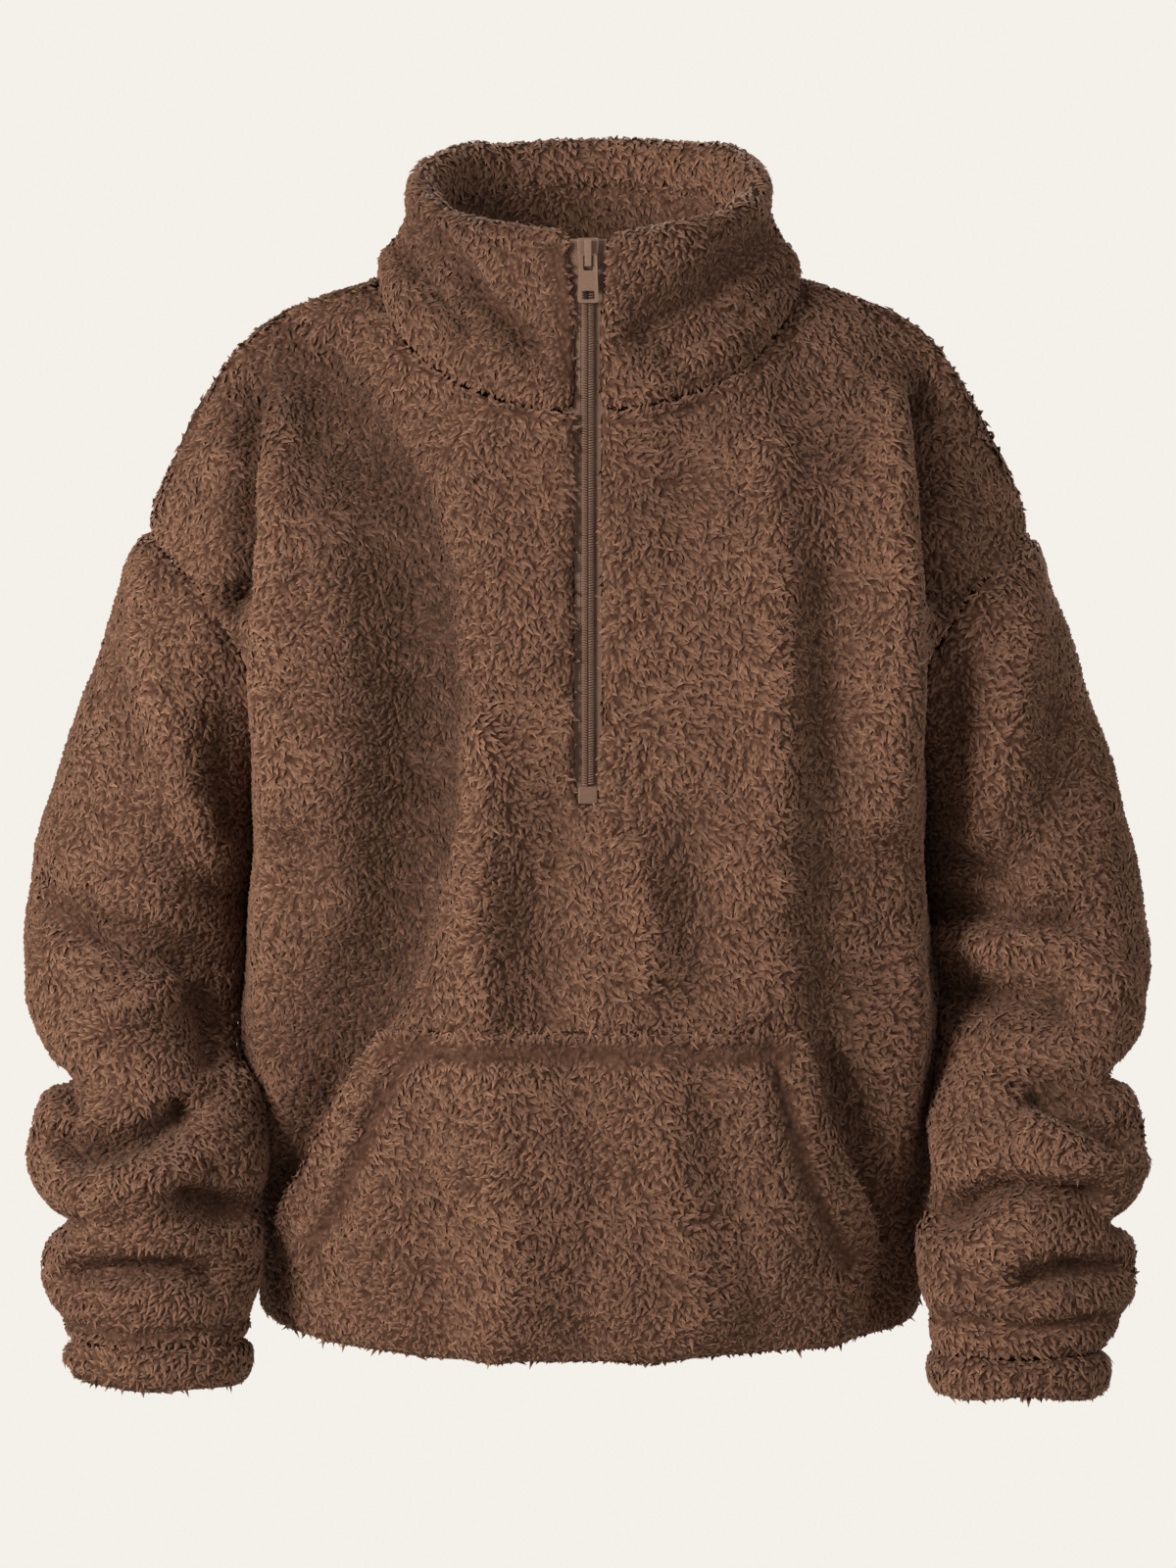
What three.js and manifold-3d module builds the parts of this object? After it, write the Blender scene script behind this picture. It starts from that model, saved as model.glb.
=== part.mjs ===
// A half-zip pullover in thick sherpa fleece, filled out as if worn, with nobody in it.
// Millimetres, +Z up, the front faces -Y, and X runs to the right of someone who looks at the front.
// The origin is at the height where the shoulders meet the neck, in the middle of the garment.
// Each piece of cloth is a wall with an outer and an inner skin. The outer skins are worked out
// first, share their seam points, and the inner skins follow from them along the normals.
import * as THREE from 'three';
import { mergeVertices } from 'three/addons/utils/BufferGeometryUtils.js';
import Module from 'manifold-3d';

const wasm = await Module();
wasm.setup();

// Driving dimensions
const clothThickness = 7;
const seamGap = 0.3;
const hemHeight = -606;
const hemSideRise = 9;
const underarmHeight = -305;
const underarmTuck = 5;
const sideSeamSetBack = 5;
const pocketTopHeight = -419;
const pocketCornerHeight = -540;
const neckHalfWidth = 119;
const neckFrontDepth = 98;
const neckFrontDrop = 76;
const neckBackDepth = 84;
const neckBackRise = 10;
const slitHalfWidth = 6.4;
const zipBottomHeight = -293;

// Horizontal sections of the body, from the hem up to the underarm. Right and left are the
// wearer's own sides, and a lower power makes a rounder section.
const bodySections = [
  { z: -606, right: 187, left: 189, front: 106, back: 98, power: 2.1 },
  { z: -585, right: 190, left: 193, front: 110, back: 102, power: 2.1 },
  { z: -540, right: 192, left: 196, front: 113, back: 105, power: 2.15 },
  { z: -489, right: 195, left: 200, front: 115, back: 106, power: 2.2 },
  { z: -443, right: 202, left: 203, front: 116, back: 106, power: 2.4 },
  { z: -419, right: 201, left: 202, front: 116, back: 106, power: 2.5 },
  { z: -360, right: 196, left: 198, front: 115, back: 105, power: 2.6 },
  { z: -305, right: 190, left: 193, front: 114, back: 104, power: 2.7 },
];

// The pocket's outline: how far it reaches to the wearer's right and left at each height
const pocketOutline = [
  { z: -606, right: 155, left: 147 },
  { z: -589, right: 170, left: 156 },
  { z: -556, right: 175, left: 163 },
  { z: -540, right: 177, left: 165 },
  { z: -517, right: 164, left: 152 },
  { z: -487, right: 150, left: 140 },
  { z: -450, right: 136, left: 128 },
  { z: -419, right: 120, left: 121 },
];

// Front panel above the underarm. Each row runs from the slit over the chest and the soft
// ridge beside the arm, into the valley behind it, and out to the armhole or shoulder seam.
const frontStations = [
  { cells: 4, slit: [-114, -293], chest: [95, -110, -296], ridge: [174, -88, -300],
    valley: [191, -44, -303], edge: [184, 5, -305] },
  { cells: 3, slit: [-114, -238], chest: [95, -110, -236], ridge: [175, -92, -232],
    valley: [188, -74, -228], edge: [184, -56, -236] },
  { cells: 3, slit: [-112, -198], chest: [94, -108, -196], ridge: [180, -87, -186],
    valley: [193, -64, -184], edge: [216, -62, -178] },
  { cells: 2, slit: [-109, -162], chest: [92, -105, -160], ridge: [177, -80, -148],
    valley: [201, -56, -146], edge: [252, 0, -140] },
  { cells: 2, slit: [-106, -134], chest: [87, -100, -131], ridge: [165, -70, -108],
    valley: [196, -46, -102], edge: [232, 0, -92] },
  { cells: 2, slit: [-102, -106], chest: [75, -92, -98], ridge: [132, -55, -62],
    valley: [163, -26, -38], edge: [191, 0, -26] },
];

// Back panel above the underarm, from the middle out to the same seams
const backStations = [
  { cells: 4, middle: [104, -296], blade: [95, 99, -296], ridge: [166, 74, -300],
    valley: [187, 40, -303], edge: [184, 5, -305] },
  { cells: 3, middle: [107, -236], blade: [95, 103, -234], ridge: [160, 88, -232],
    valley: [184, 76, -238], edge: [203, 68, -246] },
  { cells: 3, middle: [107, -190], blade: [92, 102, -188], ridge: [164, 86, -176],
    valley: [206, 70, -170], edge: [236, 50, -170] },
  { cells: 2, middle: [105, -148], blade: [90, 99, -144], ridge: [165, 76, -128],
    valley: [218, 42, -122], edge: [252, 0, -140] },
  { cells: 2, middle: [101, -98], blade: [84, 93, -94], ridge: [148, 66, -78],
    valley: [200, 34, -78], edge: [232, 0, -92] },
  { cells: 2, middle: [94, -46], blade: [72, 84, -44], ridge: [122, 58, -34],
    valley: [160, 28, -26], edge: [191, 0, -26] },
];

const armholeStations = 3;
const frontCells = { slitToChest: 4, chestToRidge: 5, ridgeToValley: 2, valleyToEdge: 2 };
const backCells = { middleToBlade: 3, bladeToRidge: 3, ridgeToValley: 2, valleyToEdge: 2 };
const rowsHemToCorner = 4;
const rowsCornerToPocketTop = 6;
const rowsPocketTopToUnderarm = 6;
const ridgeColumnAtUnderarm = 172;
const backColumnReach = 150;

// Sections of the two sleeves. Out is the outer edge, in is the edge next to the body,
// deep is half of the section from front to back and centre is where its middle lies in Y.
const rightSleeveSections = [
  { outX: 264, outZ: -166, inX: 191, inZ: -326, deep: 68, centre: 4 },
  { outX: 280, outZ: -210, inX: 195, inZ: -344, deep: 66, centre: 7 },
  { outX: 295, outZ: -255, inX: 199, inZ: -360, deep: 64, centre: 9 },
  { outX: 308, outZ: -300, inX: 198.5, inZ: -376, deep: 62, centre: 8 },
  { outX: 317, outZ: -340, inX: 199.5, inZ: -394, deep: 60, centre: 3 },
  { outX: 321, outZ: -376, inX: 201, inZ: -412, deep: 58, centre: -8 },
  { outX: 320, outZ: -403, inX: 201.5, inZ: -428, deep: 57, centre: -22 },
  { outX: 313, outZ: -424, inX: 200, inZ: -442, deep: 55, centre: -36 },
  { outX: 304, outZ: -442, inX: 193.5, inZ: -455, deep: 50, centre: -48 },
  { outX: 297, outZ: -451, inX: 188.5, inZ: -467, deep: 46, centre: -55 },
  { outX: 308, outZ: -460, inX: 186, inZ: -479, deep: 52, centre: -61 },
  { outX: 316, outZ: -477, inX: 185, inZ: -491, deep: 55, centre: -68 },
  { outX: 317, outZ: -499, inX: 186, inZ: -504, deep: 56, centre: -72 },
  { outX: 311, outZ: -517, inX: 187, inZ: -516, deep: 53, centre: -74 },
  { outX: 298, outZ: -530, inX: 190, inZ: -526, deep: 46, centre: -75 },
  { outX: 306, outZ: -539, inX: 184, inZ: -536, deep: 50, centre: -76 },
  { outX: 309, outZ: -552, inX: 181, inZ: -549, deep: 52, centre: -76 },
  { outX: 308, outZ: -566, inX: 182, inZ: -563, deep: 51, centre: -76 },
  { outX: 303, outZ: -579, inX: 187, inZ: -575, deep: 47, centre: -76 },
  { outX: 297, outZ: -586, inX: 190, inZ: -583, deep: 43, centre: -76 },
  { outX: 297, outZ: -591, inX: 189, inZ: -589, deep: 45, centre: -76 },
  { outX: 293, outZ: -597, inX: 193, inZ: -596, deep: 41, centre: -76 },
];
const leftSleeveSections = [
  { outX: 266, outZ: -177, inX: 194, inZ: -326, deep: 68, centre: 4 },
  { outX: 278, outZ: -214, inX: 197, inZ: -342, deep: 66, centre: 7 },
  { outX: 291, outZ: -255, inX: 200, inZ: -356, deep: 64, centre: 9 },
  { outX: 304, outZ: -300, inX: 200, inZ: -372, deep: 62, centre: 8 },
  { outX: 314, outZ: -344, inX: 201, inZ: -392, deep: 60, centre: 3 },
  { outX: 319, outZ: -378, inX: 202.5, inZ: -412, deep: 58, centre: -6 },
  { outX: 319, outZ: -402, inX: 203, inZ: -430, deep: 57, centre: -18 },
  { outX: 314, outZ: -423, inX: 202.5, inZ: -446, deep: 55, centre: -31 },
  { outX: 306, outZ: -439, inX: 200, inZ: -460, deep: 51, centre: -42 },
  { outX: 299, outZ: -448, inX: 197, inZ: -471, deep: 47, centre: -50 },
  { outX: 309, outZ: -458, inX: 195, inZ: -481, deep: 53, centre: -58 },
  { outX: 316, outZ: -476, inX: 195, inZ: -491, deep: 56, centre: -65 },
  { outX: 317, outZ: -497, inX: 197, inZ: -503, deep: 57, centre: -70 },
  { outX: 312, outZ: -516, inX: 194, inZ: -516, deep: 54, centre: -73 },
  { outX: 300, outZ: -530, inX: 191, inZ: -528, deep: 46, centre: -75 },
  { outX: 309, outZ: -538, inX: 185, inZ: -538, deep: 50, centre: -76 },
  { outX: 312, outZ: -551, inX: 183, inZ: -550, deep: 53, centre: -77 },
  { outX: 310, outZ: -566, inX: 184, inZ: -564, deep: 52, centre: -77 },
  { outX: 306, outZ: -578, inX: 188, inZ: -577, deep: 47, centre: -77 },
  { outX: 300, outZ: -587, inX: 191, inZ: -586, deep: 43, centre: -77 },
  { outX: 300, outZ: -594, inX: 190, inZ: -594, deep: 45, centre: -77 },
  { outX: 293, outZ: -602, inX: 192, inZ: -602, deep: 41, centre: -77 },
];
const cuffSections = [
  { grow: 4, drop: 5 },
  { grow: 5, drop: 13 },
  { grow: 3, drop: 21 },
  { grow: -2, drop: 28 },
];

// Folds, as seen from the front: a line of points in X and Z, how wide, and how far they
// stand out of the cloth (plus) or sink into it (minus)
const frontFolds = [
  { line: [[-134, -87], [-97, -180], [-101, -316], [-128, -420]], wide: 24, out: -9 },
  { line: [[-72, -150], [-70, -430]], wide: 13, out: 4 },
  { line: [[107, -170], [112, -380]], wide: 15, out: 4 },
  { line: [[138, -170], [139, -350]], wide: 12, out: -5 },
  { line: [[161, -170], [164, -360]], wide: 12, out: 3 },
  { line: [[-30, -330], [-26, -400]], wide: 12, out: -3 },
  { line: [[62, -340], [60, -405]], wide: 14, out: -3 },
  { line: [[-60, -455], [-64, -590]], wide: 18, out: 3 },
  { line: [[70, -470], [98, -590]], wide: 18, out: -3 },
  { line: [[60, -110], [130, -150]], wide: 16, out: -3 },
  { line: [[-112, -458], [-130, -515]], wide: 18, out: -5 },
  { line: [[126, -446], [146, -514]], wide: 20, out: -5 },
];
const backFolds = [
  { line: [[-128, -110], [-98, -220], [-112, -420]], wide: 24, out: -8 },
  { line: [[118, -130], [104, -260], [128, -460]], wide: 22, out: -7 },
  { line: [[-40, -240], [-30, -520]], wide: 20, out: 4 },
  { line: [[48, -300], [62, -560]], wide: 18, out: 4 },
  { line: [[-90, -40], [-30, -70], [50, -66]], wide: 16, out: -3 },
  { line: [[10, -420], [14, -580]], wide: 18, out: -4 },
];
const rightSleeveFolds = [
  { line: [[-262, -200], [-232, -322]], wide: 15, out: 4 },
  { line: [[-232, -318], [-206, -352]], wide: 10, out: -5 },
  { line: [[-237, -340], [-200, -374]], wide: 10, out: 4 },
  { line: [[-290, -374], [-250, -381], [-214, -389]], wide: 12, out: -7 },
  { line: [[-282, -427], [-250, -410], [-218, -394]], wide: 12, out: 5 },
  { line: [[-216, -408], [-203, -440]], wide: 11, out: -8 },
  { line: [[-298, -478], [-284, -484], [-250, -476], [-226, -465]], wide: 10, out: -9 },
  { line: [[-296, -496], [-250, -494], [-220, -487]], wide: 10, out: 4 },
  { line: [[-222, -514], [-194, -524]], wide: 10, out: -8 },
  { line: [[-296, -556], [-270, -553], [-226, -550], [-208, -557]], wide: 9, out: -8 },
];
const leftSleeveFolds = [
  { line: [[258, -200], [236, -310]], wide: 15, out: 4 },
  { line: [[203, -326], [222, -338]], wide: 10, out: -5 },
  { line: [[212, -357], [272, -359]], wide: 12, out: -6 },
  { line: [[202, -377], [222, -373], [254, -374], [292, -393]], wide: 12, out: 5 },
  { line: [[204, -402], [224, -404], [264, -408]], wide: 11, out: -8 },
  { line: [[248, -456], [266, -464], [303, -484]], wide: 12, out: -8 },
  { line: [[250, -474], [276, -486], [304, -498]], wide: 10, out: 4 },
  { line: [[197, -525], [212, -514], [230, -507], [250, -506], [281, -512]], wide: 9, out: -8 },
  { line: [[242, -553], [268, -550], [304, -553]], wide: 9, out: -8 },
];
const collarFolds = [
  { line: [[-105, 20], [-82, -6], [-60, -25], [-34, -50]], wide: 10, out: -3.5 },
  { line: [[104, 20], [92, 2], [60, -30], [34, -46]], wide: 10, out: -3.5 },
];

// Stand collar: a tall outer layer that rolls over at the rim
const collarRollRadius = 11;
const collarFrontBulge = 5;
const collarSideWave = 4;
const collarParting = { columns: 2, firstRow: 2, lastRow: 6 };
const collarRollHalfWidth = 95;
const collarRollFront = -86;
const collarRollBack = 77;
const collarRollHeight = { front: 16, back: 71 };
const collarOuterRows = 5;
const collarHookDrop = 15;
const collarCornerHalfWidth = 13;
const facing = { thickness: 6, behindCollar: 1.2, footRise: 8 };

// Zip
const tape = {
  thickness: 1, behindCloth: 0.5, halfWidth: 14, middle: 0.35, topMiddle: 5.6, belowZip: 14, partingRun: 3,
};
const coil = { width: 3.2, height: 2.3, middle: 0.15, lift: 0.3, aboveStop: 0.6, underSlider: 1 };
const bottomStop = { width: 11, height: 10, thickness: 2.2 };
const zipTopHeight = 21;
const leastRun = 3;
const slider = {
  length: 17, topWidth: 12, bottomWidth: 9.6, plate: 1.1, middleHeight: 12.5, corner: 1.6, embed: 0.2,
  post: { width: 2.2, fromTop: 4, toTop: 1 }, lip: { width: 1, fromBottom: 1.6, fromTop: 5 },
  leansFrom: -14, leansTo: 4,
};
const bridge = { width: 3.6, bottom: -8, top: 7, leg: 1.4, opening: 2.6, roof: 1.2 };
const pullTab = {
  length: 28, topWidth: 10, bottomWidth: 11.6, thickness: 1.5, pivot: -1, corner: 1.8, barInset: 0.6,
  slotWidth: 5.4, slotEnd: 9.1, slotCorner: 0.8,
  windowWidth: 7.2, windowHeight: 5, windowCorner: 1.2, endRail: 1.8,
};
const pocketRise = 15;
const pocketThickness = 6.5;
const partGap = 0.3;

function material(color, roughness, metalness = 0) {
  return new THREE.MeshStandardMaterial({ color, roughness, metalness, side: THREE.DoubleSide });
}
const fleece = material(0x6a4a3a, 0.95);
const fleeceInside = material(0x503628, 0.95);
const tapeCloth = material(0x77573f, 0.85);
const coilNylon = material(0x7a5d4b, 0.6);
const paintedMetal = material(0x8a6a56, 0.4, 0.3);

const point = (x, y, z) => new THREE.Vector3(x, y, z);
const mix = THREE.MathUtils.lerp;
const smooth = (value, from, to) => THREE.MathUtils.smoothstep(value, from, to);

// A value from a table of sections, by its Z, with a straight run between the rows
function fromTable(table, z, column) {
  let row = 0;
  while (row < table.length - 2 && z > table[row + 1].z) row += 1;
  const lower = table[row];
  const upper = table[row + 1];
  const t = THREE.MathUtils.clamp((z - lower.z) / (upper.z - lower.z), 0, 1);
  return mix(lower[column], upper[column], t);
}

// Distance in the front view from a point to a line of points
function distanceToLine(x, z, line) {
  let nearest = Infinity;
  for (let i = 0; i < line.length - 1; i += 1) {
    const [ax, az] = line[i];
    const [bx, bz] = line[i + 1];
    const lengthSquared = (bx - ax) ** 2 + (bz - az) ** 2;
    const t = THREE.MathUtils.clamp(((x - ax) * (bx - ax) + (z - az) * (bz - az)) / lengthSquared, 0, 1);
    nearest = Math.min(nearest, Math.hypot(x - mix(ax, bx, t), z - mix(az, bz, t)));
  }
  return nearest;
}

function foldAt(x, z, folds) {
  let out = 0;
  for (const fold of folds) {
    out += fold.out * Math.exp(-((distanceToLine(x, z, fold.line) / fold.wide) ** 2));
  }
  return out;
}

// A grid holds rows of points. Wrapped grids join their last column to the first.
function gridNormals(grid, wrapped, flip) {
  const normals = grid.map((row) => row.map(() => point(0, 0, 0)));
  const columns = grid[0].length;
  const cells = wrapped ? columns : columns - 1;
  for (let r = 0; r < grid.length - 1; r += 1) {
    for (let c = 0; c < cells; c += 1) {
      const d = (c + 1) % columns;
      const one = grid[r + 1][d].clone().sub(grid[r][c]);
      const two = grid[r + 1][c].clone().sub(grid[r][d]);
      const normal = one.cross(two);
      if (flip) normal.negate();
      normals[r][c].add(normal);
      normals[r][d].add(normal);
      normals[r + 1][c].add(normal);
      normals[r + 1][d].add(normal);
    }
  }
  return normals;
}

// Normals that pieces share at their seams: every skin adds its own at each point
const sharedNormals = new Map();
const keyOf = (p) => `${Math.round(p.x * 50)},${Math.round(p.y * 50)},${Math.round(p.z * 50)}`;

function shareNormals(skin) {
  const normals = gridNormals(skin.grid, skin.wrapped, skin.flip);
  skin.grid.forEach((row, r) => row.forEach((p, c) => {
    const key = keyOf(p);
    const sum = sharedNormals.get(key) ?? point(0, 0, 0);
    sharedNormals.set(key, sum.add(normals[r][c]));
  }));
}

const sharedNormal = (p) => sharedNormals.get(keyOf(p)).clone().normalize();

// A skin knows its grid and which way it faces. toward is the way out at one of its cells.
function makeSkin(grid, wrapped, cell, toward) {
  const plain = gridNormals(grid, wrapped, false);
  const flip = plain[cell[0]][cell[1]].dot(toward) < 0;
  return { grid, wrapped, flip };
}

function innerGrid(skin, thickness) {
  return skin.grid.map((row) => row.map((p) => p.clone().addScaledVector(sharedNormal(p), -thickness)));
}

// Pulls the edge points of a wall back from its seam, square to the face that the seam makes
function pullBack(outer, inner, edge, neighbour, distance) {
  const count = edge.length;
  const moves = edge.map(([r, c], i) => {
    const before = edge[Math.max(i - 1, 0)];
    const after = edge[Math.min(i + 1, count - 1)];
    const along = outer[after[0]][after[1]].clone().sub(outer[before[0]][before[1]]);
    const across = inner[r][c].clone().sub(outer[r][c]);
    const move = along.cross(across).normalize();
    const [nr, nc] = neighbour(r, c);
    const toInside = outer[nr][nc].clone().add(inner[nr][nc]).sub(outer[r][c]).sub(inner[r][c]);
    return move.multiplyScalar(move.dot(toInside) < 0 ? -distance : distance);
  });
  return edge.map(([r, c], i) => ({ r, c, move: moves[i] }));
}

function applyMoves(outer, inner, lists) {
  for (const list of lists) {
    for (const { r, c, move } of list) {
      outer[r][c].add(move);
      inner[r][c].add(move);
    }
  }
}

// The closed wall between two grids, with rims wherever a cell is missing beside a present one
function wallGeometry(outer, inner, wrapped, flip, present = () => true) {
  const rows = outer.length;
  const columns = outer[0].length;
  const cellColumns = wrapped ? columns : columns - 1;
  const positions = [];
  const indices = [];
  const inGrid = (r, c) => r >= 0 && r < rows - 1 && (wrapped || (c >= 0 && c < cellColumns));
  const filled = (r, c) => inGrid(r, c) && present(r, (c + cellColumns) % cellColumns);
  for (const grid of [outer, inner]) {
    for (const row of grid) {
      for (const p of row) positions.push(p.x, p.y, p.z);
    }
  }
  const outerIndex = (r, c) => r * columns + (c % columns);
  const innerIndex = (r, c) => rows * columns + outerIndex(r, c);
  const quad = (a, b, c, d) => {
    if (flip) indices.push(a, c, b, a, d, c);
    else indices.push(a, b, c, a, c, d);
  };
  const axisGap = (a, b, k) => positions[3 * a + k] - positions[3 * b + k];
  const apart = (a, b) => [0, 1, 2].reduce((sum, k) => sum + axisGap(a, b, k) ** 2, 0);
  // A rim is split along its shorter diagonal, as the rim that it faces is
  const rim = (a, b, c, d) => (apart(a, c) < apart(b, d) ? quad(a, b, c, d) : quad(b, c, d, a));
  for (let r = 0; r < rows - 1; r += 1) {
    for (let c = 0; c < cellColumns; c += 1) {
      if (!filled(r, c)) continue;
      const corners = [[r, c], [r, c + 1], [r + 1, c + 1], [r + 1, c]];
      const [a, b, e, d] = corners.map(([i, j]) => outerIndex(i, j));
      const [p, q, t, s] = corners.map(([i, j]) => innerIndex(i, j));
      quad(a, b, e, d);
      quad(p, s, t, q);
      if (!filled(r - 1, c)) rim(a, p, q, b);
      if (!filled(r + 1, c)) rim(e, t, s, d);
      if (!filled(r, c - 1)) rim(d, s, p, a);
      if (!filled(r, c + 1)) rim(b, q, t, e);
    }
  }
  const geometry = new THREE.BufferGeometry();
  geometry.setAttribute('position', new THREE.Float32BufferAttribute(positions, 3));
  geometry.setIndex(indices);
  return geometry;
}

// Keeps only the points that the faces use
function compact(geometry) {
  const flat = geometry.index ? geometry.toNonIndexed() : geometry.clone();
  flat.deleteAttribute('normal');
  flat.deleteAttribute('uv');
  const merged = mergeVertices(flat, 1e-4);
  merged.computeVertexNormals();
  return merged;
}

const group = new THREE.Group();
function addPiece(name, geometry, surface) {
  const mesh = new THREE.Mesh(compact(geometry), surface);
  mesh.name = name;
  group.add(mesh);
  return mesh;
}

const rowCells = (cells) => Object.values(cells).reduce((sum, count) => sum + count, 0);
const frontHalfCells = rowCells(frontCells);
const backHalfCells = rowCells(backCells);
const underarmRow = rowsHemToCorner + rowsCornerToPocketTop + rowsPocketTopToUnderarm;
// Both panels have the same cells beside the armhole
const armholeCells = frontStations.slice(0, armholeStations).reduce((sum, s) => sum + s.cells, 0);

// Points along a smooth curve through guide points, with a number of cells between each pair
function alongGuides(guides, counts) {
  const curve = new THREE.CatmullRomCurve3(guides, false, 'centripetal');
  const points = [];
  counts.forEach((count, segment) => {
    for (let i = 0; i < count; i += 1) {
      points.push(curve.getPoint((segment + i / count) / (guides.length - 1)));
    }
  });
  points.push(guides[guides.length - 1].clone());
  return points;
}

// Half of a horizontal section of the body, from the middle out to the side seam.
// The first cells reach out to a set X and the rest share what is left of the curve.
const sideStartAngle = 1.2;
const fineSteps = 60;
function sectionHalf(side, isFront, z, firstX, innerCells, innerX, outerCells) {
  const half = fromTable(bodySections, z, side < 0 ? 'right' : 'left');
  const depth = fromTable(bodySections, z, isFront ? 'front' : 'back');
  const power = fromTable(bodySections, z, 'power');
  const hem = 1 - smooth(z, hemHeight, pocketCornerHeight);
  const tuck = underarmTuck * smooth(z, pocketTopHeight, underarmHeight);
  const at = (angle) => {
    const atSide = smooth(angle, sideStartAngle, Math.PI / 2);
    const x = half * Math.sin(angle) ** (2 / power) - tuck * atSide;
    const y = depth * Math.abs(Math.cos(angle)) ** (2 / power);
    const rise = hemSideRise * hem * (x / half) ** 2;
    return point(side * x, sideSeamSetBack * atSide + (isFront ? -y : y), z + rise);
  };
  const angleOfX = (x) => Math.asin(Math.min(1, x / half) ** (power / 2));
  const points = [];
  for (let i = 0; i <= innerCells; i += 1) {
    points.push(at(angleOfX(mix(firstX, innerX, i / innerCells))));
  }
  const start = angleOfX(innerX);
  const fine = Array.from({ length: fineSteps + 1 }, (_, i) => at(mix(start, Math.PI / 2, i / fineSteps)));
  const rest = new THREE.CatmullRomCurve3(fine, false, 'centripetal');
  for (let i = 1; i <= outerCells; i += 1) points.push(rest.getPointAt(i / outerCells));
  return points;
}

// The heights of the front panel's rows from the hem to the row below the underarm
function lowerRowHeights() {
  const heights = [];
  const addRun = (from, to, count) => {
    for (let i = 0; i < count; i += 1) heights.push(mix(from, to, i / count));
  };
  addRun(hemHeight, pocketCornerHeight, rowsHemToCorner);
  addRun(pocketCornerHeight, pocketTopHeight, rowsCornerToPocketTop);
  addRun(pocketTopHeight, underarmHeight, rowsPocketTopToUnderarm);
  return heights;
}

// Where the column that follows the pocket's edge lies, above the pocket as well
function pocketEdge(side, z) {
  const column = side < 0 ? 'right' : 'left';
  if (z <= pocketTopHeight) return fromTable(pocketOutline, z, column);
  const top = pocketOutline[pocketOutline.length - 1][column];
  return mix(top, ridgeColumnAtUnderarm, smooth(z, pocketTopHeight, underarmHeight));
}

// The neckline as a closed loop: angle 0 at the front, a quarter turn at the side, half at the back
function neckPoint(side, angle) {
  const x = side * neckHalfWidth * Math.sin(angle);
  const front = Math.cos(angle);
  if (front >= 0) return point(x, -neckFrontDepth * front, -neckFrontDrop * front);
  return point(x, -neckBackDepth * front, neckBackRise * -front);
}

// Rows above the underarm, by a smooth curve through the stations for each column
function upperRows(stations, lead, cells) {
  const rows = [];
  const columns = stations[0].length;
  const curves = Array.from({ length: columns }, (_, c) => {
    const guides = [lead[c], ...stations.map((station) => station[c])];
    return new THREE.CatmullRomCurve3(guides, false, 'centripetal');
  });
  cells.forEach((count, segment) => {
    for (let i = 0; i < count; i += 1) {
      const t = (segment + 1 + i / count) / stations.length;
      rows.push(curves.map((curve) => curve.getPoint(t)));
    }
  });
  rows.push(stations[stations.length - 1].map((p) => p.clone()));
  return rows;
}

function frontHalf(side) {
  const inner = frontCells.slitToChest + frontCells.chestToRidge;
  const outer = frontCells.ridgeToValley + frontCells.valleyToEdge;
  const lower = lowerRowHeights().map((z) => (
    sectionHalf(side, true, z, slitHalfWidth, inner, pocketEdge(side, z), outer)));
  const counts = Object.values(frontCells);
  const stations = frontStations.map((s) => alongGuides([
    point(side * slitHalfWidth, ...s.slit),
    ...[s.chest, s.ridge, s.valley, s.edge].map(([x, y, z]) => point(side * x, y, z)),
  ], counts));
  const firstAngle = Math.asin(slitHalfWidth / neckHalfWidth);
  stations.push(Array.from({ length: frontHalfCells + 1 }, (_, i) => (
    neckPoint(side, mix(firstAngle, Math.PI / 2, i / frontHalfCells)))));
  const upper = upperRows(stations, lower[lower.length - 2], frontStations.map((s) => s.cells));
  return [...lower, ...upper];
}

function backHalf(side, frontRows, edgeOf) {
  const inner = backCells.middleToBlade + backCells.bladeToRidge;
  const outer = backCells.ridgeToValley + backCells.valleyToEdge;
  const lower = lowerRowHeights().map((z) => (
    sectionHalf(side, false, z, 0, inner, backColumnReach, outer)));
  const counts = Object.values(backCells);
  const stations = backStations.map((s) => alongGuides([
    point(0, ...s.middle),
    ...[s.blade, s.ridge, s.valley, s.edge].map(([x, y, z]) => point(side * x, y, z)),
  ], counts));
  stations.push(Array.from({ length: backHalfCells + 1 }, (_, i) => (
    neckPoint(side, mix(Math.PI, Math.PI / 2, i / backHalfCells)))));
  const upper = upperRows(stations, lower[lower.length - 1], backStations.map((s) => s.cells));
  const rows = [...lower, ...upper];
  // The side and shoulder seams take the front panel's own points
  rows.forEach((row, r) => {
    if (r <= lower.length || r >= lower.length + armholeCells) {
      row[backHalfCells] = edgeOf(frontRows[r]).clone();
    }
  });
  return rows;
}

const joinHalves = (left, right) => left.map((row, r) => [...row.slice().reverse(), ...right[r]]);
const joinAtMiddle = (left, right) => left.map((row, r) => [...row.slice(1).reverse(), ...right[r]]);

// Moves a grid's points along its normals by the folds, fading towards the seams
function foldGrid(grid, wrapped, flip, folds, fade) {
  const normals = gridNormals(grid, wrapped, flip);
  grid.forEach((row, r) => row.forEach((p, c) => {
    const amount = foldAt(p.x, p.z, folds) * fade(r, c);
    if (amount !== 0) p.addScaledVector(normals[r][c].normalize(), amount);
  }));
}

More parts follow.
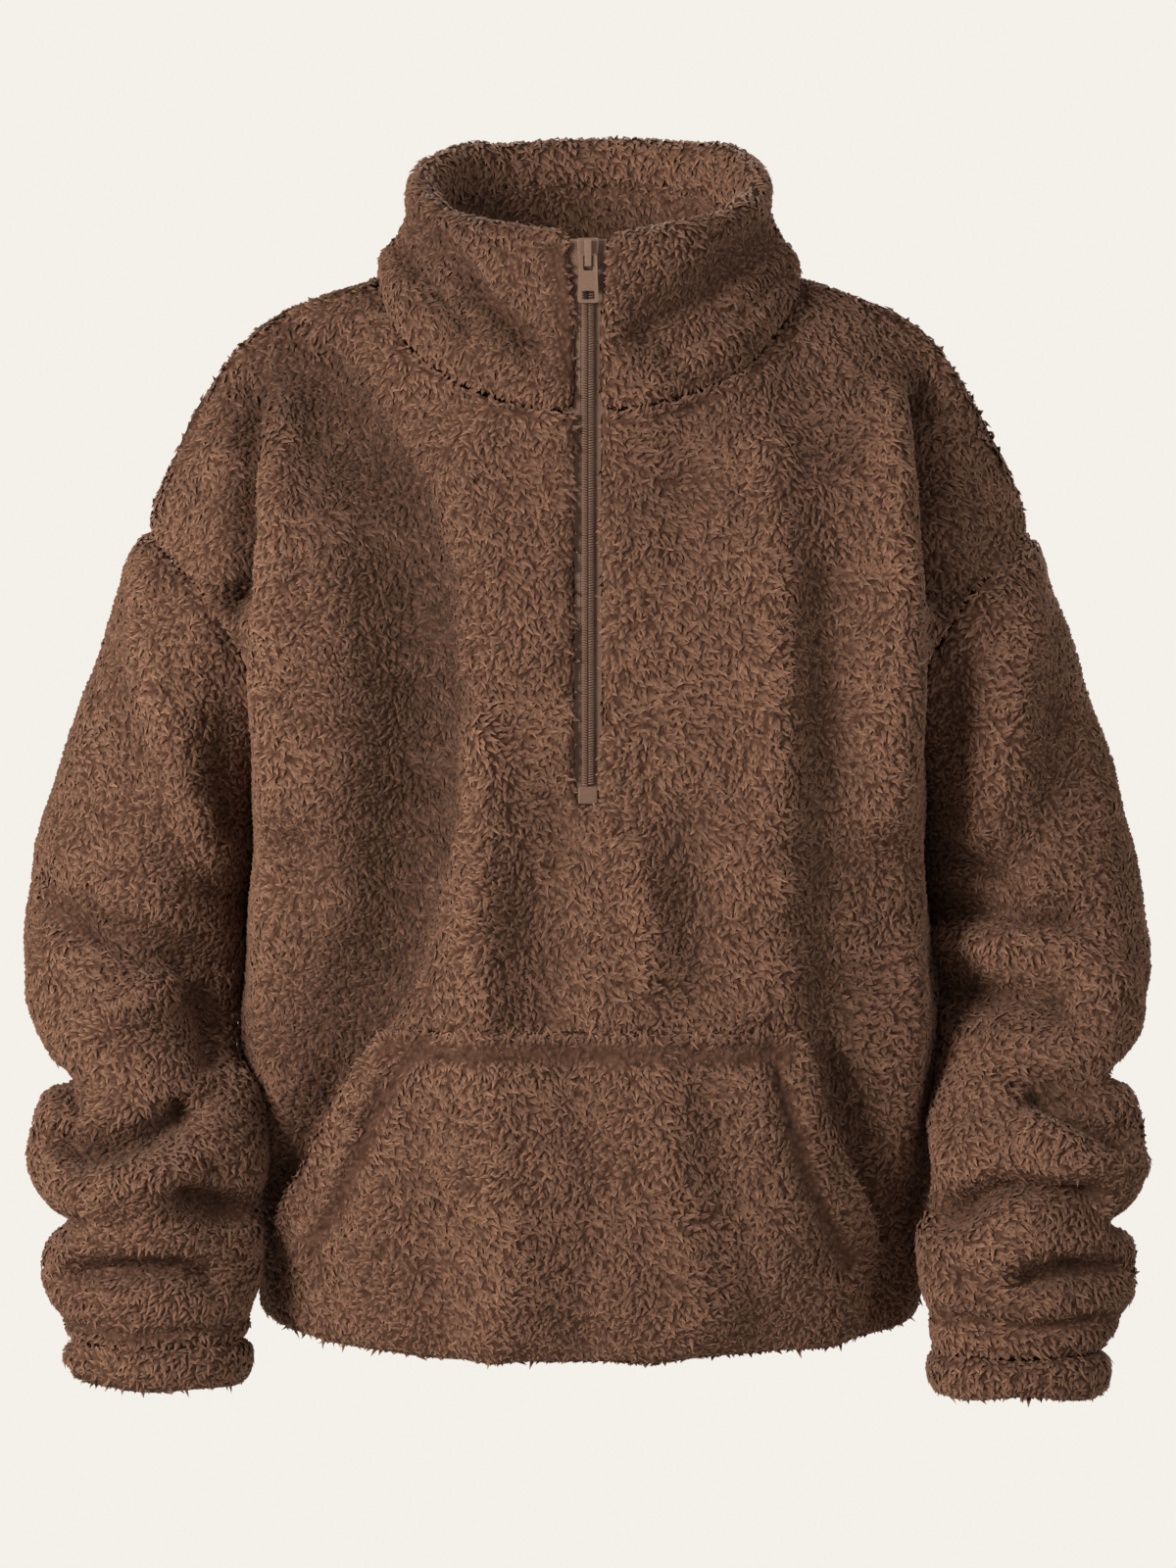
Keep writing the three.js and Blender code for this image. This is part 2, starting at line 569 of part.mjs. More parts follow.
function makeFrontSkin() {
  const grid = joinHalves(frontHalf(-1), frontHalf(1));
  const skin = makeSkin(grid, false, [5, 8], point(0, -1, 0));
  const last = grid[0].length - 1;
  const top = grid.length - 1;
  foldGrid(grid, false, skin.flip, frontFolds, (r, c) => {
    const fromSide = Math.min(c, last - c);
    return smooth(fromSide, 0, 2) * smooth(top - r, 0, 2);
  });
  return skin;
}

function makeBackSkin(front) {
  const lastColumn = front.grid[0].length - 1;
  const right = backHalf(-1, front.grid, (row) => row[0]);
  const left = backHalf(1, front.grid, (row) => row[lastColumn]);
  const grid = joinAtMiddle(right, left);
  const skin = makeSkin(grid, false, [5, 10], point(0, 1, 0));
  const last = grid[0].length - 1;
  const top = grid.length - 1;
  foldGrid(grid, false, skin.flip, backFolds, (r, c) => {
    const fromSide = Math.min(c, last - c);
    return smooth(fromSide, 0, 2) * smooth(top - r, 0, 2);
  });
  return skin;
}

// The armhole as a ring of seam points: from the underarm up the front, then down the back
function armholeRing(front, back, side) {
  const frontColumn = side < 0 ? 0 : front.grid[0].length - 1;
  const backColumn = side < 0 ? 0 : back.grid[0].length - 1;
  const ring = [];
  for (let i = 0; i <= armholeCells; i += 1) ring.push(front.grid[underarmRow + i][frontColumn].clone());
  for (let i = armholeCells - 1; i > 0; i -= 1) ring.push(back.grid[underarmRow + i][backColumn].clone());
  return ring;
}

function sleeveRing(side, section, count) {
  const outer = point(side * section.outX, section.centre, section.outZ);
  const inner = point(side * section.inX, section.centre, section.inZ);
  const middle = outer.clone().add(inner).multiplyScalar(0.5);
  const across = outer.clone().sub(inner).multiplyScalar(0.5);
  return Array.from({ length: count }, (_, i) => {
    const angle = (2 * Math.PI * i) / count;
    const p = middle.clone().addScaledVector(across, -Math.cos(angle));
    p.y -= section.deep * Math.sin(angle);
    return p;
  });
}

const backFoldShare = 0.75;
function makeSleeveSkin(ring, side, sections, folds) {
  const grid = [ring, ...sections.map((section) => sleeveRing(side, section, ring.length))];
  const skin = makeSkin(grid, true, [6, ring.length / 2], point(side, 0, 0));
  const last = grid.length - 1;
  foldGrid(grid, true, skin.flip, folds, (r, c) => {
    const angle = (2 * Math.PI * c) / ring.length;
    const share = Math.sin(angle) >= 0 ? 1 : backFoldShare;
    return share * smooth(Math.abs(Math.sin(angle)), 0, 0.6) * smooth(r, 0, 2) * smooth(last - r, 0, 2);
  });
  return skin;
}

function makeCuffSkin(sleeve) {
  const ring = sleeve.grid[sleeve.grid.length - 1];
  const middle = ring.reduce((sum, p) => sum.add(p), point(0, 0, 0)).divideScalar(ring.length);
  const rows = cuffSections.map(({ grow, drop }) => ring.map((p) => {
    const outward = p.clone().sub(middle).setZ(0).normalize();
    return point(p.x + outward.x * grow, p.y + outward.y * grow, p.z - drop);
  }));
  const grid = [ring.map((p) => p.clone()), ...rows];
  return makeSkin(grid, true, [1, 5], point(0, -1, 0));
}

// The collar's columns stand on the neckline's points: from the right front edge round the
// back to the left front edge, as the front and back panels have them
function neckLoop(front, back) {
  const frontTop = front.grid[front.grid.length - 1];
  const backTop = back.grid[back.grid.length - 1];
  const half = frontHalfCells;
  const rightFront = frontTop.slice(0, half + 1).reverse();
  const leftFront = frontTop.slice(half + 1).reverse();
  return [...rightFront, ...backTop.slice(1), ...leftFront.slice(1)].map((p) => p.clone());
}

function rollCentre(base) {
  const side = base.x / neckHalfWidth;
  const reach = base.y < 0 ? -base.y / neckFrontDepth : base.y / neckBackDepth;
  const y = base.y < 0 ? collarRollFront * reach : collarRollBack * reach;
  const t = (y - collarRollFront) / (collarRollBack - collarRollFront);
  const z = mix(collarRollHeight.front, collarRollHeight.back, t);
  return point(collarRollHalfWidth * side, y, z);
}

function outwardOf(base) {
  return point(base.x / neckHalfWidth ** 2, base.y / neckFrontDepth ** 2, 0).normalize();
}

function collarColumn(base, index, count) {
  const centre = rollCentre(base);
  const outward = outwardOf(base);
  const foot = centre.clone().addScaledVector(outward, collarRollRadius);
  const column = [];
  const sideness = Math.abs(base.x) / neckHalfWidth;
  for (let k = 0; k < collarOuterRows; k += 1) {
    const t = k / collarOuterRows;
    const p = base.clone().lerp(foot, t);
    const frontBulge = collarFrontBulge * Math.sin(Math.PI * t) * (1 - sideness);
    const sideWave = collarSideWave * Math.sin(2 * Math.PI * t) * smooth(sideness, 0.4, 1);
    column.push(p.addScaledVector(outward, frontBulge + sideWave));
  }
  for (const degrees of [0, 45, 90, 135, 180]) {
    const angle = THREE.MathUtils.degToRad(degrees);
    const p = centre.clone().addScaledVector(outward, collarRollRadius * Math.cos(angle));
    column.push(p.setZ(p.z + collarRollRadius * Math.sin(angle)));
  }
  const end = centre.clone().addScaledVector(outward, -collarRollRadius);
  column.push(end.setZ(end.z - collarHookDrop));
  // The front edges part towards the rim, where the tape ends show
  const fromEdge = Math.min(index, count - 1 - index);
  const { columns, firstRow, lastRow } = collarParting;
  if (fromEdge < columns) {
    const side = Math.sign(base.x);
    column.forEach((p, k) => {
      const spread = (collarCornerHalfWidth - slitHalfWidth) * smooth(k, firstRow, lastRow);
      p.x += side * spread * (1 - fromEdge / columns);
    });
  }
  return column;
}

function makeCollarSkin(loop) {
  const columns = loop.map((base, i) => collarColumn(base, i, loop.length));
  const grid = columns[0].map((_, k) => columns.map((column) => column[k]));
  grid[0] = loop.map((p) => p.clone());
  const middle = Math.floor(loop.length / 2);
  const skin = makeSkin(grid, false, [1, middle], point(0, 1, 0));
  const last = loop.length - 1;
  foldGrid(grid, false, skin.flip, collarFolds, (r, c) => {
    const isOuter = r > 0 && r <= collarOuterRows;
    const inFront = grid[0][c].y < 30;
    return isOuter && inFront && c > 1 && c < last - 1 ? 1 : 0;
  });
  return skin;
}

// All outer skins, then their shared normals, then the walls
const frontSkin = makeFrontSkin();
const backSkin = makeBackSkin(frontSkin);
const rightRing = armholeRing(frontSkin, backSkin, -1);
const leftRing = armholeRing(frontSkin, backSkin, 1);
const rightSleeveSkin = makeSleeveSkin(rightRing, -1, rightSleeveSections, rightSleeveFolds);
const leftSleeveSkin = makeSleeveSkin(leftRing, 1, leftSleeveSections, leftSleeveFolds);
const rightCuffSkin = makeCuffSkin(rightSleeveSkin);
const leftCuffSkin = makeCuffSkin(leftSleeveSkin);
const collarSkin = makeCollarSkin(neckLoop(frontSkin, backSkin));
const skins = [frontSkin, backSkin, rightSleeveSkin, leftSleeveSkin, rightCuffSkin, leftCuffSkin, collarSkin];
skins.forEach(shareNormals);

const range = (from, to) => Array.from({ length: to - from + 1 }, (_, i) => from + i);
const halfGap = seamGap / 2;

// A sheet's wall, pulled back from its seams. Each seam is a run along one side of the grid.
function sheetWall(skin, seams) {
  const inner = innerGrid(skin, clothThickness);
  const outer = skin.grid.map((row) => row.map((p) => p.clone()));
  const lastRow = outer.length - 1;
  const lastColumn = outer[0].length - 1;
  const runs = {
    bottom: (from, to) => ({ edge: range(from, to).map((c) => [0, c]), next: (r, c) => [1, c] }),
    top: (from, to) => ({
      edge: range(from, to).map((c) => [lastRow, c]), next: (r, c) => [lastRow - 1, c],
    }),
    start: (from, to) => ({ edge: range(from, to).map((r) => [r, 0]), next: (r) => [r, 1] }),
    end: (from, to) => ({
      edge: range(from, to).map((r) => [r, lastColumn]), next: (r) => [r, lastColumn - 1],
    }),
  };
  const moves = seams.map(({ side, from, to }) => {
    const { edge, next } = runs[side](from, to);
    return pullBack(outer, inner, edge, next, halfGap);
  });
  applyMoves(outer, inner, moves);
  return { outer, inner, skin };
}

const frontRowCount = frontSkin.grid.length - 1;
const frontColumnCount = frontSkin.grid[0].length - 1;
// The runs along both sides of a panel: the side seam, the armhole and the shoulder seam
const shoulderRow = underarmRow + armholeCells;
const sideSeams = (rowCount) => ['start', 'end'].flatMap((side) => [
  { side, from: 0, to: underarmRow },
  { side, from: underarmRow, to: shoulderRow },
  { side, from: shoulderRow, to: rowCount },
]);
const frontSeams = [
  ...sideSeams(frontRowCount),
  { side: 'top', from: 0, to: frontHalfCells },
  { side: 'top', from: frontHalfCells + 1, to: frontColumnCount },
];
const frontWall = sheetWall(frontSkin, frontSeams);
const slitCell = frontHalfCells;
addPiece('front', wallGeometry(frontWall.outer, frontWall.inner, false, frontSkin.flip, (r, c) => (
  c !== slitCell || r < underarmRow)), fleece);

const backRowCount = backSkin.grid.length - 1;
const backColumnCount = backSkin.grid[0].length - 1;
const backSeams = [...sideSeams(backRowCount), { side: 'top', from: 0, to: backColumnCount }];
const backWall = sheetWall(backSkin, backSeams);
addPiece('back', wallGeometry(backWall.outer, backWall.inner, false, backSkin.flip), fleece);

// Tubes are pulled back at whole rings
function tubeWall(skin, seamRows) {
  const inner = innerGrid(skin, clothThickness);
  const outer = skin.grid.map((row) => row.map((p) => p.clone()));
  const count = outer[0].length;
  for (const row of seamRows) {
    const next = row === 0 ? 1 : row - 1;
    const moves = range(0, count - 1).map((c) => {
      const along = outer[row][(c + 1) % count].clone().sub(outer[row][(c + count - 1) % count]);
      const across = inner[row][c].clone().sub(outer[row][c]);
      const move = along.cross(across).normalize();
      const toInside = outer[next][c].clone().add(inner[next][c]).sub(outer[row][c]).sub(inner[row][c]);
      return { r: row, c, move: move.multiplyScalar(move.dot(toInside) < 0 ? -halfGap : halfGap) };
    });
    applyMoves(outer, inner, [moves]);
  }
  return { outer, inner, skin };
}

const sleeves = { right: rightSleeveSkin, left: leftSleeveSkin };
for (const [side, skin] of Object.entries(sleeves)) {
  const wall = tubeWall(skin, [0, skin.grid.length - 1]);
  addPiece(`sleeve_${side}`, wallGeometry(wall.outer, wall.inner, true, skin.flip), fleece);
}
const cuffs = { right: rightCuffSkin, left: leftCuffSkin };
for (const [side, skin] of Object.entries(cuffs)) {
  const wall = tubeWall(skin, [0]);
  addPiece(`cuff_${side}`, wallGeometry(wall.outer, wall.inner, true, skin.flip), fleece);
}

const collarColumnCount = collarSkin.grid[0].length - 1;
const collarWall = sheetWall(collarSkin, [{ side: 'bottom', from: 0, to: collarColumnCount }]);
addPiece('collar', wallGeometry(collarWall.outer, collarWall.inner, false, collarSkin.flip), fleece);

// The inner layer of the collar, from the rim's seam down to the neck seam. Its outer skin is
// the one that shows inside the neck.
function makeFacing() {
  const rows = 3;
  const visible = [];
  const hidden = [];
  const hookEnd = collarSkin.grid[collarSkin.grid.length - 1];
  const neck = collarSkin.grid[0];
  for (let k = 0; k <= rows; k += 1) {
    const backs = neck.map((base, i) => {
      const outward = outwardOf(base);
      const foot = base.clone().addScaledVector(outward, -clothThickness - facing.behindCollar);
      foot.z += facing.footRise;
      const top = hookEnd[i].clone().addScaledVector(outward, facing.thickness);
      top.z -= seamGap;
      return foot.lerp(top, k / rows);
    });
    hidden.push(backs);
    visible.push(backs.map((p, i) => p.clone().addScaledVector(outwardOf(neck[i]), -facing.thickness)));
  }
  const skin = makeSkin(visible, false, [1, Math.floor(neck.length / 2)], point(0, -1, 0));
  return wallGeometry(visible, hidden, false, skin.flip);
}
addPiece('collar_facing', makeFacing(), fleeceInside);

// The pocket takes the front panel's own points, moved out. It is sewn along its top, its
// hem and its lower sides, and stands open along the two slanted edges for the hands.
function makePocket() {
  const reach = frontCells.slitToChest + frontCells.chestToRidge;
  const firstColumn = frontHalfCells - reach;
  const lastColumn = frontHalfCells + 1 + reach;
  const topRow = rowsHemToCorner + rowsCornerToPocketTop;
  const rise = (r, c) => {
    const fromSide = Math.min(c - firstColumn, lastColumn - c);
    const sewn = smooth(fromSide, 0, 3);
    const open = smooth(r, rowsHemToCorner, rowsHemToCorner + 1.5);
    const upward = Math.max(0, Math.sin((Math.PI * r) / topRow)) ** 0.7;
    return partGap + pocketRise * upward * mix(sewn, 1, open);
  };
  const gridAt = (extra) => range(0, topRow).map((r) => range(firstColumn, lastColumn).map((c) => {
    const p = frontWall.outer[r][c];
    return p.clone().addScaledVector(sharedNormal(frontSkin.grid[r][c]), rise(r, c) + extra);
  }));
  return wallGeometry(gridAt(pocketThickness), gridAt(0), false, frontSkin.flip);
}
addPiece('pocket', makePocket(), fleece);

// The zip runs behind the cloth on both sides of the slit. Each station holds the middle of
// the tape's front face, the way inward there, and the cloth's inner skin beside the slit.
function zipStations(side) {
  const column = side < 0 ? frontHalfCells : frontHalfCells + 1;
  const nextColumn = column + side;
  const collarColumn = side < 0 ? 0 : collarColumnCount;
  const station = (outer, inner, next) => ({
    inward: inner.clone().sub(outer).setX(0).normalize(), inner: inner.clone(), next: next.clone(),
  });
  const stations = [];
  for (let r = underarmRow - 1; r < frontRowCount; r += 1) {
    const { outer, inner } = frontWall;
    stations.push(station(outer[r][column], inner[r][column], inner[r][nextColumn]));
  }
  for (let k = 0; k <= collarOuterRows; k += 1) {
    const { outer, inner } = collarWall;
    stations.push(station(outer[k][collarColumn], inner[k][collarColumn], inner[k][collarColumn - side]));
  }
  return stations;
}

const blend = (a, b, t) => ({
  inward: a.inward.clone().lerp(b.inward, t).normalize(),
  inner: a.inner.clone().lerp(b.inner, t),
  next: a.next.clone().lerp(b.next, t),
});

// Stations of the zip between two heights, with one at each end
function stationsBetween(side, low, high) {
  const all = zipStations(side);
  const at = (z) => {
    const i = Math.max(0, Math.min(all.length - 2, all.findIndex((s) => s.inner.z > z) - 1));
    const last = z > all[all.length - 1].inner.z;
    const start = last ? all.length - 2 : i;
    const [a, b] = [all[start], all[start + 1]];
    return blend(a, b, (z - a.inner.z) / (b.inner.z - a.inner.z));
  };
  const between = all.filter((s) => s.inner.z > low + leastRun && s.inner.z < high - leastRun);
  return [at(low), ...between, at(high)];
}
const stationAt = (z) => stationsBetween(1, z, zipTopHeight)[0];

const onTape = (s, inwardBy) => s.inner.clone().addScaledVector(s.inward, tape.behindCloth + inwardBy);

function makeTape(side) {
  const low = zipBottomHeight - tape.belowZip;
  const stations = [
    ...stationsBetween(side, low, slider.middleHeight - tape.partingRun),
    ...stationsBetween(side, slider.middleHeight + tape.partingRun, zipTopHeight),
  ];
  const rowAt = (s, depth) => {
    const edge = onTape(s, depth);
    if (s.inner.z > slider.middleHeight) {
      // Above the slider the two tapes part, and their ends stay inside the slit
      const spread = smooth(s.inner.z, slider.middleHeight - tape.partingRun, zipTopHeight);
      const from = mix(tape.middle, tape.topMiddle, spread);
      const to = Math.abs(s.inner.x) - tape.behindCloth;
      return [from, (from + to) / 2, to].map((x) => edge.clone().setX(side * x));
    }
    const out = (tape.halfWidth - Math.abs(s.inner.x)) / (Math.abs(s.next.x) - Math.abs(s.inner.x));
    const far = s.inner.clone().lerp(s.next, out);
    far.addScaledVector(s.inward, tape.behindCloth + depth);
    return [edge.clone().setX(side * tape.middle), edge, far];
  };
  const front = stations.map((s) => rowAt(s, 0));
  const back = stations.map((s) => rowAt(s, tape.thickness));
  const skin = makeSkin(front, false, [1, 1], point(0, -1, 0));
  return wallGeometry(front, back, false, skin.flip);
}

// One coil of the zip, closed up to its neighbour, as a plain bar
function makeCoil(side) {
  const low = zipBottomHeight + bottomStop.height + coil.aboveStop;
  const stations = stationsBetween(side, low, slider.middleHeight - coil.underSlider);
  const edges = [coil.middle, coil.middle + coil.width];
  const rowAt = (s, depth) => edges.map((x) => onTape(s, depth).setX(side * x));
  const front = stations.map((s) => rowAt(s, -coil.lift - coil.height));
  const back = stations.map((s) => rowAt(s, -coil.lift));
  const skin = makeSkin(front, false, [1, 1], point(0, -1, 0));
  return wallGeometry(front, back, false, skin.flip);
}

for (const [name, side] of [['right', -1], ['left', 1]]) {
  addPiece(`zip_tape_${name}`, makeTape(side), tapeCloth);
  addPiece(`zip_coil_${name}`, makeCoil(side), coilNylon);
}

// Rounded outline in X and Z with its own width at the top and at the bottom
function roundedOutline(topWidth, bottomWidth, top, bottom, radius) {
  const shape = new THREE.Shape();
  const [t, b] = [topWidth / 2, bottomWidth / 2];
  shape.moveTo(-b + radius, bottom);
  shape.lineTo(b - radius, bottom);
  shape.quadraticCurveTo(b, bottom, b, bottom + radius);
  shape.lineTo(t, top - radius);
  shape.quadraticCurveTo(t, top, t - radius, top);
  shape.lineTo(-t + radius, top);
  shape.quadraticCurveTo(-t, top, -t, top - radius);
  shape.lineTo(-b, bottom + radius);
  shape.quadraticCurveTo(-b, bottom, -b + radius, bottom);
  return shape;
}

// An outline drawn in X and Z, made into a plate between two depths in Y
function plate(shape, fromY, toY) {
  const options = { depth: toY - fromY, bevelEnabled: false, curveSegments: 3 };
  const geometry = new THREE.ExtrudeGeometry(shape, options);
  geometry.rotateX(Math.PI / 2);
  geometry.translate(0, toY, 0);
  return geometry;
}

function toSolid(geometry) {
  const clean = compact(geometry);
  const source = new wasm.Mesh({
    numProp: 3,
    vertProperties: new Float32Array(clean.attributes.position.array),
    triVerts: new Uint32Array(clean.index.array),
  });
  return new wasm.Manifold(source);
}

function fromSolid(solid) {
  const mesh = solid.getMesh();
  const geometry = new THREE.BufferGeometry();
  geometry.setAttribute('position', new THREE.Float32BufferAttribute(mesh.vertProperties, 3));
  geometry.setIndex(Array.from(mesh.triVerts));
  return geometry;
}

const block = (x0, x1, y0, y1, z0, z1) => {
  const geometry = new THREE.BoxGeometry(x1 - x0, y1 - y0, z1 - z0);
  return geometry.translate((x0 + x1) / 2, (y0 + y1) / 2, (z0 + z1) / 2);
};

// The slider in its own frame: Y 0 is the front of the tape and Z runs up the zip
const frontFace = -(coil.lift + coil.height + partGap) - slider.plate;
const pivotDepth = frontFace - bridge.opening / 2;

function makeSlider() {
  const half = slider.length / 2;
  const { post, lip, embed } = slider;
  const outline = roundedOutline(slider.topWidth, slider.bottomWidth, half, -half, slider.corner);
  let solid = toSolid(plate(outline, frontFace, frontFace + slider.plate));
  const backStart = tape.thickness + partGap;
  const pieces = [plate(outline, backStart, backStart + slider.plate)];
  const legStart = frontFace + embed;
  const postHalf = post.width / 2;
  const postEnds = [half - post.fromTop, half - post.toTop];
  pieces.push(block(-postHalf, postHalf, legStart, backStart + embed, ...postEnds));
  const lipOuter = slider.bottomWidth / 2;
  for (const side of [-1, 1]) {
    const [x0, x1] = [side * lipOuter, side * (lipOuter - lip.width)].sort((a, b) => a - b);
    pieces.push(block(x0, x1, legStart, -partGap, -half + lip.fromBottom, half - lip.fromTop));
  }
  const roof = frontFace - bridge.opening;
  const x = bridge.width / 2;
  pieces.push(block(-x, x, roof - bridge.roof, legStart, bridge.bottom, bridge.bottom + bridge.leg));
  pieces.push(block(-x, x, roof - bridge.roof, legStart, bridge.top - bridge.leg, bridge.top));
  pieces.push(block(-x, x, roof - bridge.roof, roof, bridge.bottom, bridge.top));
  for (const piece of pieces) solid = solid.add(toSolid(piece));
  return fromSolid(solid);
}

// The pull tab in its own frame: its crossbar runs along X through the origin
function makePullTab() {
  const radius = pullTab.thickness / 2;
  const bottom = radius - pullTab.length;
  const { slotWidth, slotEnd, slotCorner, windowWidth, windowHeight, windowCorner, endRail } = pullTab;
  const outline = roundedOutline(pullTab.topWidth, pullTab.bottomWidth, 0, bottom, pullTab.corner);
  const slot = roundedOutline(slotWidth, slotWidth, -radius, -slotEnd, slotCorner);
  const windowBottom = bottom + endRail;
  const windowTop = windowBottom + windowHeight;
  const window = roundedOutline(windowWidth, windowWidth, windowTop, windowBottom, windowCorner);
  let solid = toSolid(plate(outline, -radius, radius));
  solid = solid.subtract(toSolid(plate(slot, -radius - 1, radius + 1)));
  solid = solid.subtract(toSolid(plate(window, -radius - 1, radius + 1)));
  const barLength = pullTab.topWidth - 2 * pullTab.barInset;
  const bar = new THREE.CylinderGeometry(radius, radius, barLength, 12);
  bar.rotateZ(Math.PI / 2);
  return fromSolid(solid.add(toSolid(bar)));
}

// Where the slider sits on the zip, and how the zip leans there
function sliderPlace() {
  const top = onTape(stationAt(slider.middleHeight + slider.leansTo), 0);
  const low = onTape(stationAt(slider.middleHeight + slider.leansFrom), 0);
  const lean = Math.atan2(-(top.y - low.y), top.z - low.z);
  const middle = onTape(stationAt(slider.middleHeight), 0);
  return { y: middle.y, z: middle.z, lean };
}

const place = sliderPlace();
const sliderGroup = new THREE.Group();
sliderGroup.position.set(0, place.y, place.z);
sliderGroup.rotation.x = place.lean;
group.add(sliderGroup);

const sliderMesh = new THREE.Mesh(compact(makeSlider()), paintedMetal);
sliderMesh.name = 'zip_slider';
sliderGroup.add(sliderMesh);

const tabMesh = new THREE.Mesh(compact(makePullTab()), paintedMetal);
tabMesh.name = 'zip_pull_tab';
tabMesh.position.set(0, pivotDepth, pullTab.pivot);
sliderGroup.add(tabMesh);

// The bottom stop closes the slit's lower end in front of the tapes
const stopStation = stationAt(zipBottomHeight + bottomStop.height / 2 + partGap);
const stopFront = coil.lift + bottomStop.thickness;
const stopY = onTape(stopStation, -stopFront / 2 - coil.lift / 2).y;
const stopMesh = new THREE.Mesh(compact(block(
  -bottomStop.width / 2, bottomStop.width / 2, -bottomStop.thickness / 2, bottomStop.thickness / 2,
  -bottomStop.height / 2, bottomStop.height / 2)), coilNylon);
stopMesh.name = 'zip_stop';
stopMesh.position.set(0, stopY, stopStation.inner.z);
group.add(stopMesh);

export default group;
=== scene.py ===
# Half-zip sherpa fleece pullover: cloth shells, curled pile, zip and a plain studio
import math
import bmesh
import bpy
import numpy as np
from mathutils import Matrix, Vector
from mathutils.bvhtree import BVHTree
from mathutils.kdtree import KDTree


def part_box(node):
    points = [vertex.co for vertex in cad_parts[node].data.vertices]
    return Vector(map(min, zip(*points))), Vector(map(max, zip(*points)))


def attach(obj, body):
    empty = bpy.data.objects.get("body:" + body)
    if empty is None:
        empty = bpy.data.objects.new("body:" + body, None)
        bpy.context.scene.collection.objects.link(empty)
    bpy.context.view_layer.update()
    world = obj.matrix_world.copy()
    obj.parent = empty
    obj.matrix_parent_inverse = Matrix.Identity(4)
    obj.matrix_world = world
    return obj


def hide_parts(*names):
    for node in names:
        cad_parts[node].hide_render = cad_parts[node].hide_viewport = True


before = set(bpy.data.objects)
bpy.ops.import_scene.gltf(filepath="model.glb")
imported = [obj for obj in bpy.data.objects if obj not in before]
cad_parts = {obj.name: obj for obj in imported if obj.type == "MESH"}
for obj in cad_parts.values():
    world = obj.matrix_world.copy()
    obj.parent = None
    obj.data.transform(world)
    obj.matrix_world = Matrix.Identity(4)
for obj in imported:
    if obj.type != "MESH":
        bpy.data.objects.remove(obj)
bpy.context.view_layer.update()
scene = bpy.context.scene
mm = 0.001
outsideFace, insideFace, rimFace = 0, 1, 2  # material slots of a cloth shell


# Helpers for materials
def colour(red, green, blue):
    return (red, green, blue, 1.0)


def setInputs(node, values):
    for key, value in values.items():
        node.inputs[key].default_value = value


def newMaterial(name, values):
    material = bpy.data.materials.new(name)
    material.use_nodes = True
    surface = material.node_tree.nodes["Principled BSDF"]
    setInputs(surface, values)
    return material, material.node_tree, surface


def addNode(tree, kind, values=None, **settings):
    node = tree.nodes.new(kind)
    for key, value in settings.items():
        setattr(node, key, value)
    setInputs(node, values or {})
    return node


def link(tree, source, output, target, socket):
    tree.links.new(source.outputs[output], target.inputs[socket])


def linkPlace(tree, target, socket="Vector"):
    link(tree, addNode(tree, "ShaderNodeTexCoord"), "Object", target, socket)


def newGroup(name, inputs, outputs):
    tree = bpy.data.node_groups.new(name, "ShaderNodeTree")
    for label, kind, value in inputs:
        socket = tree.interface.new_socket(name=label, in_out="INPUT", socket_type=kind)
        socket.default_value = value
    for label, kind in outputs:
        tree.interface.new_socket(name=label, in_out="OUTPUT", socket_type=kind)
    return tree, tree.nodes.new("NodeGroupInput"), tree.nodes.new("NodeGroupOutput")


def placeGroup(tree, group, values):
    return addNode(tree, "ShaderNodeGroup", values, node_tree=group)


def addMath(tree, operation, source, output, value=0.5):
    node = addNode(tree, "ShaderNodeMath", {1: value}, operation=operation)
    link(tree, source, output, node, 0)
    return node


# Spreads a value from first..last over low..high
def addRange(tree, source, output, low, high, first=0.0, last=1.0):
    node = addNode(tree, "ShaderNodeMapRange", {
        "From Min": first, "From Max": last, "To Min": low, "To Max": high})
    link(tree, source, output, node, "Value")
    return node


mixShare, mixFirst, mixSecond, mixResult = 0, 6, 7, 2  # sockets of a colour mix


def addMix(tree, share, output, colours=()):
    node = addNode(tree, "ShaderNodeMix", dict(zip((mixFirst, mixSecond), colours)), data_type="RGBA")
    link(tree, share, output, node, mixShare)
    return node


def addBump(tree, source, output, surface, strength, distance):
    bump = addNode(tree, "ShaderNodeBump", {"Strength": strength, "Distance": distance})
    link(tree, source, output, bump, "Height")
    link(tree, bump, "Normal", surface, "Normal")


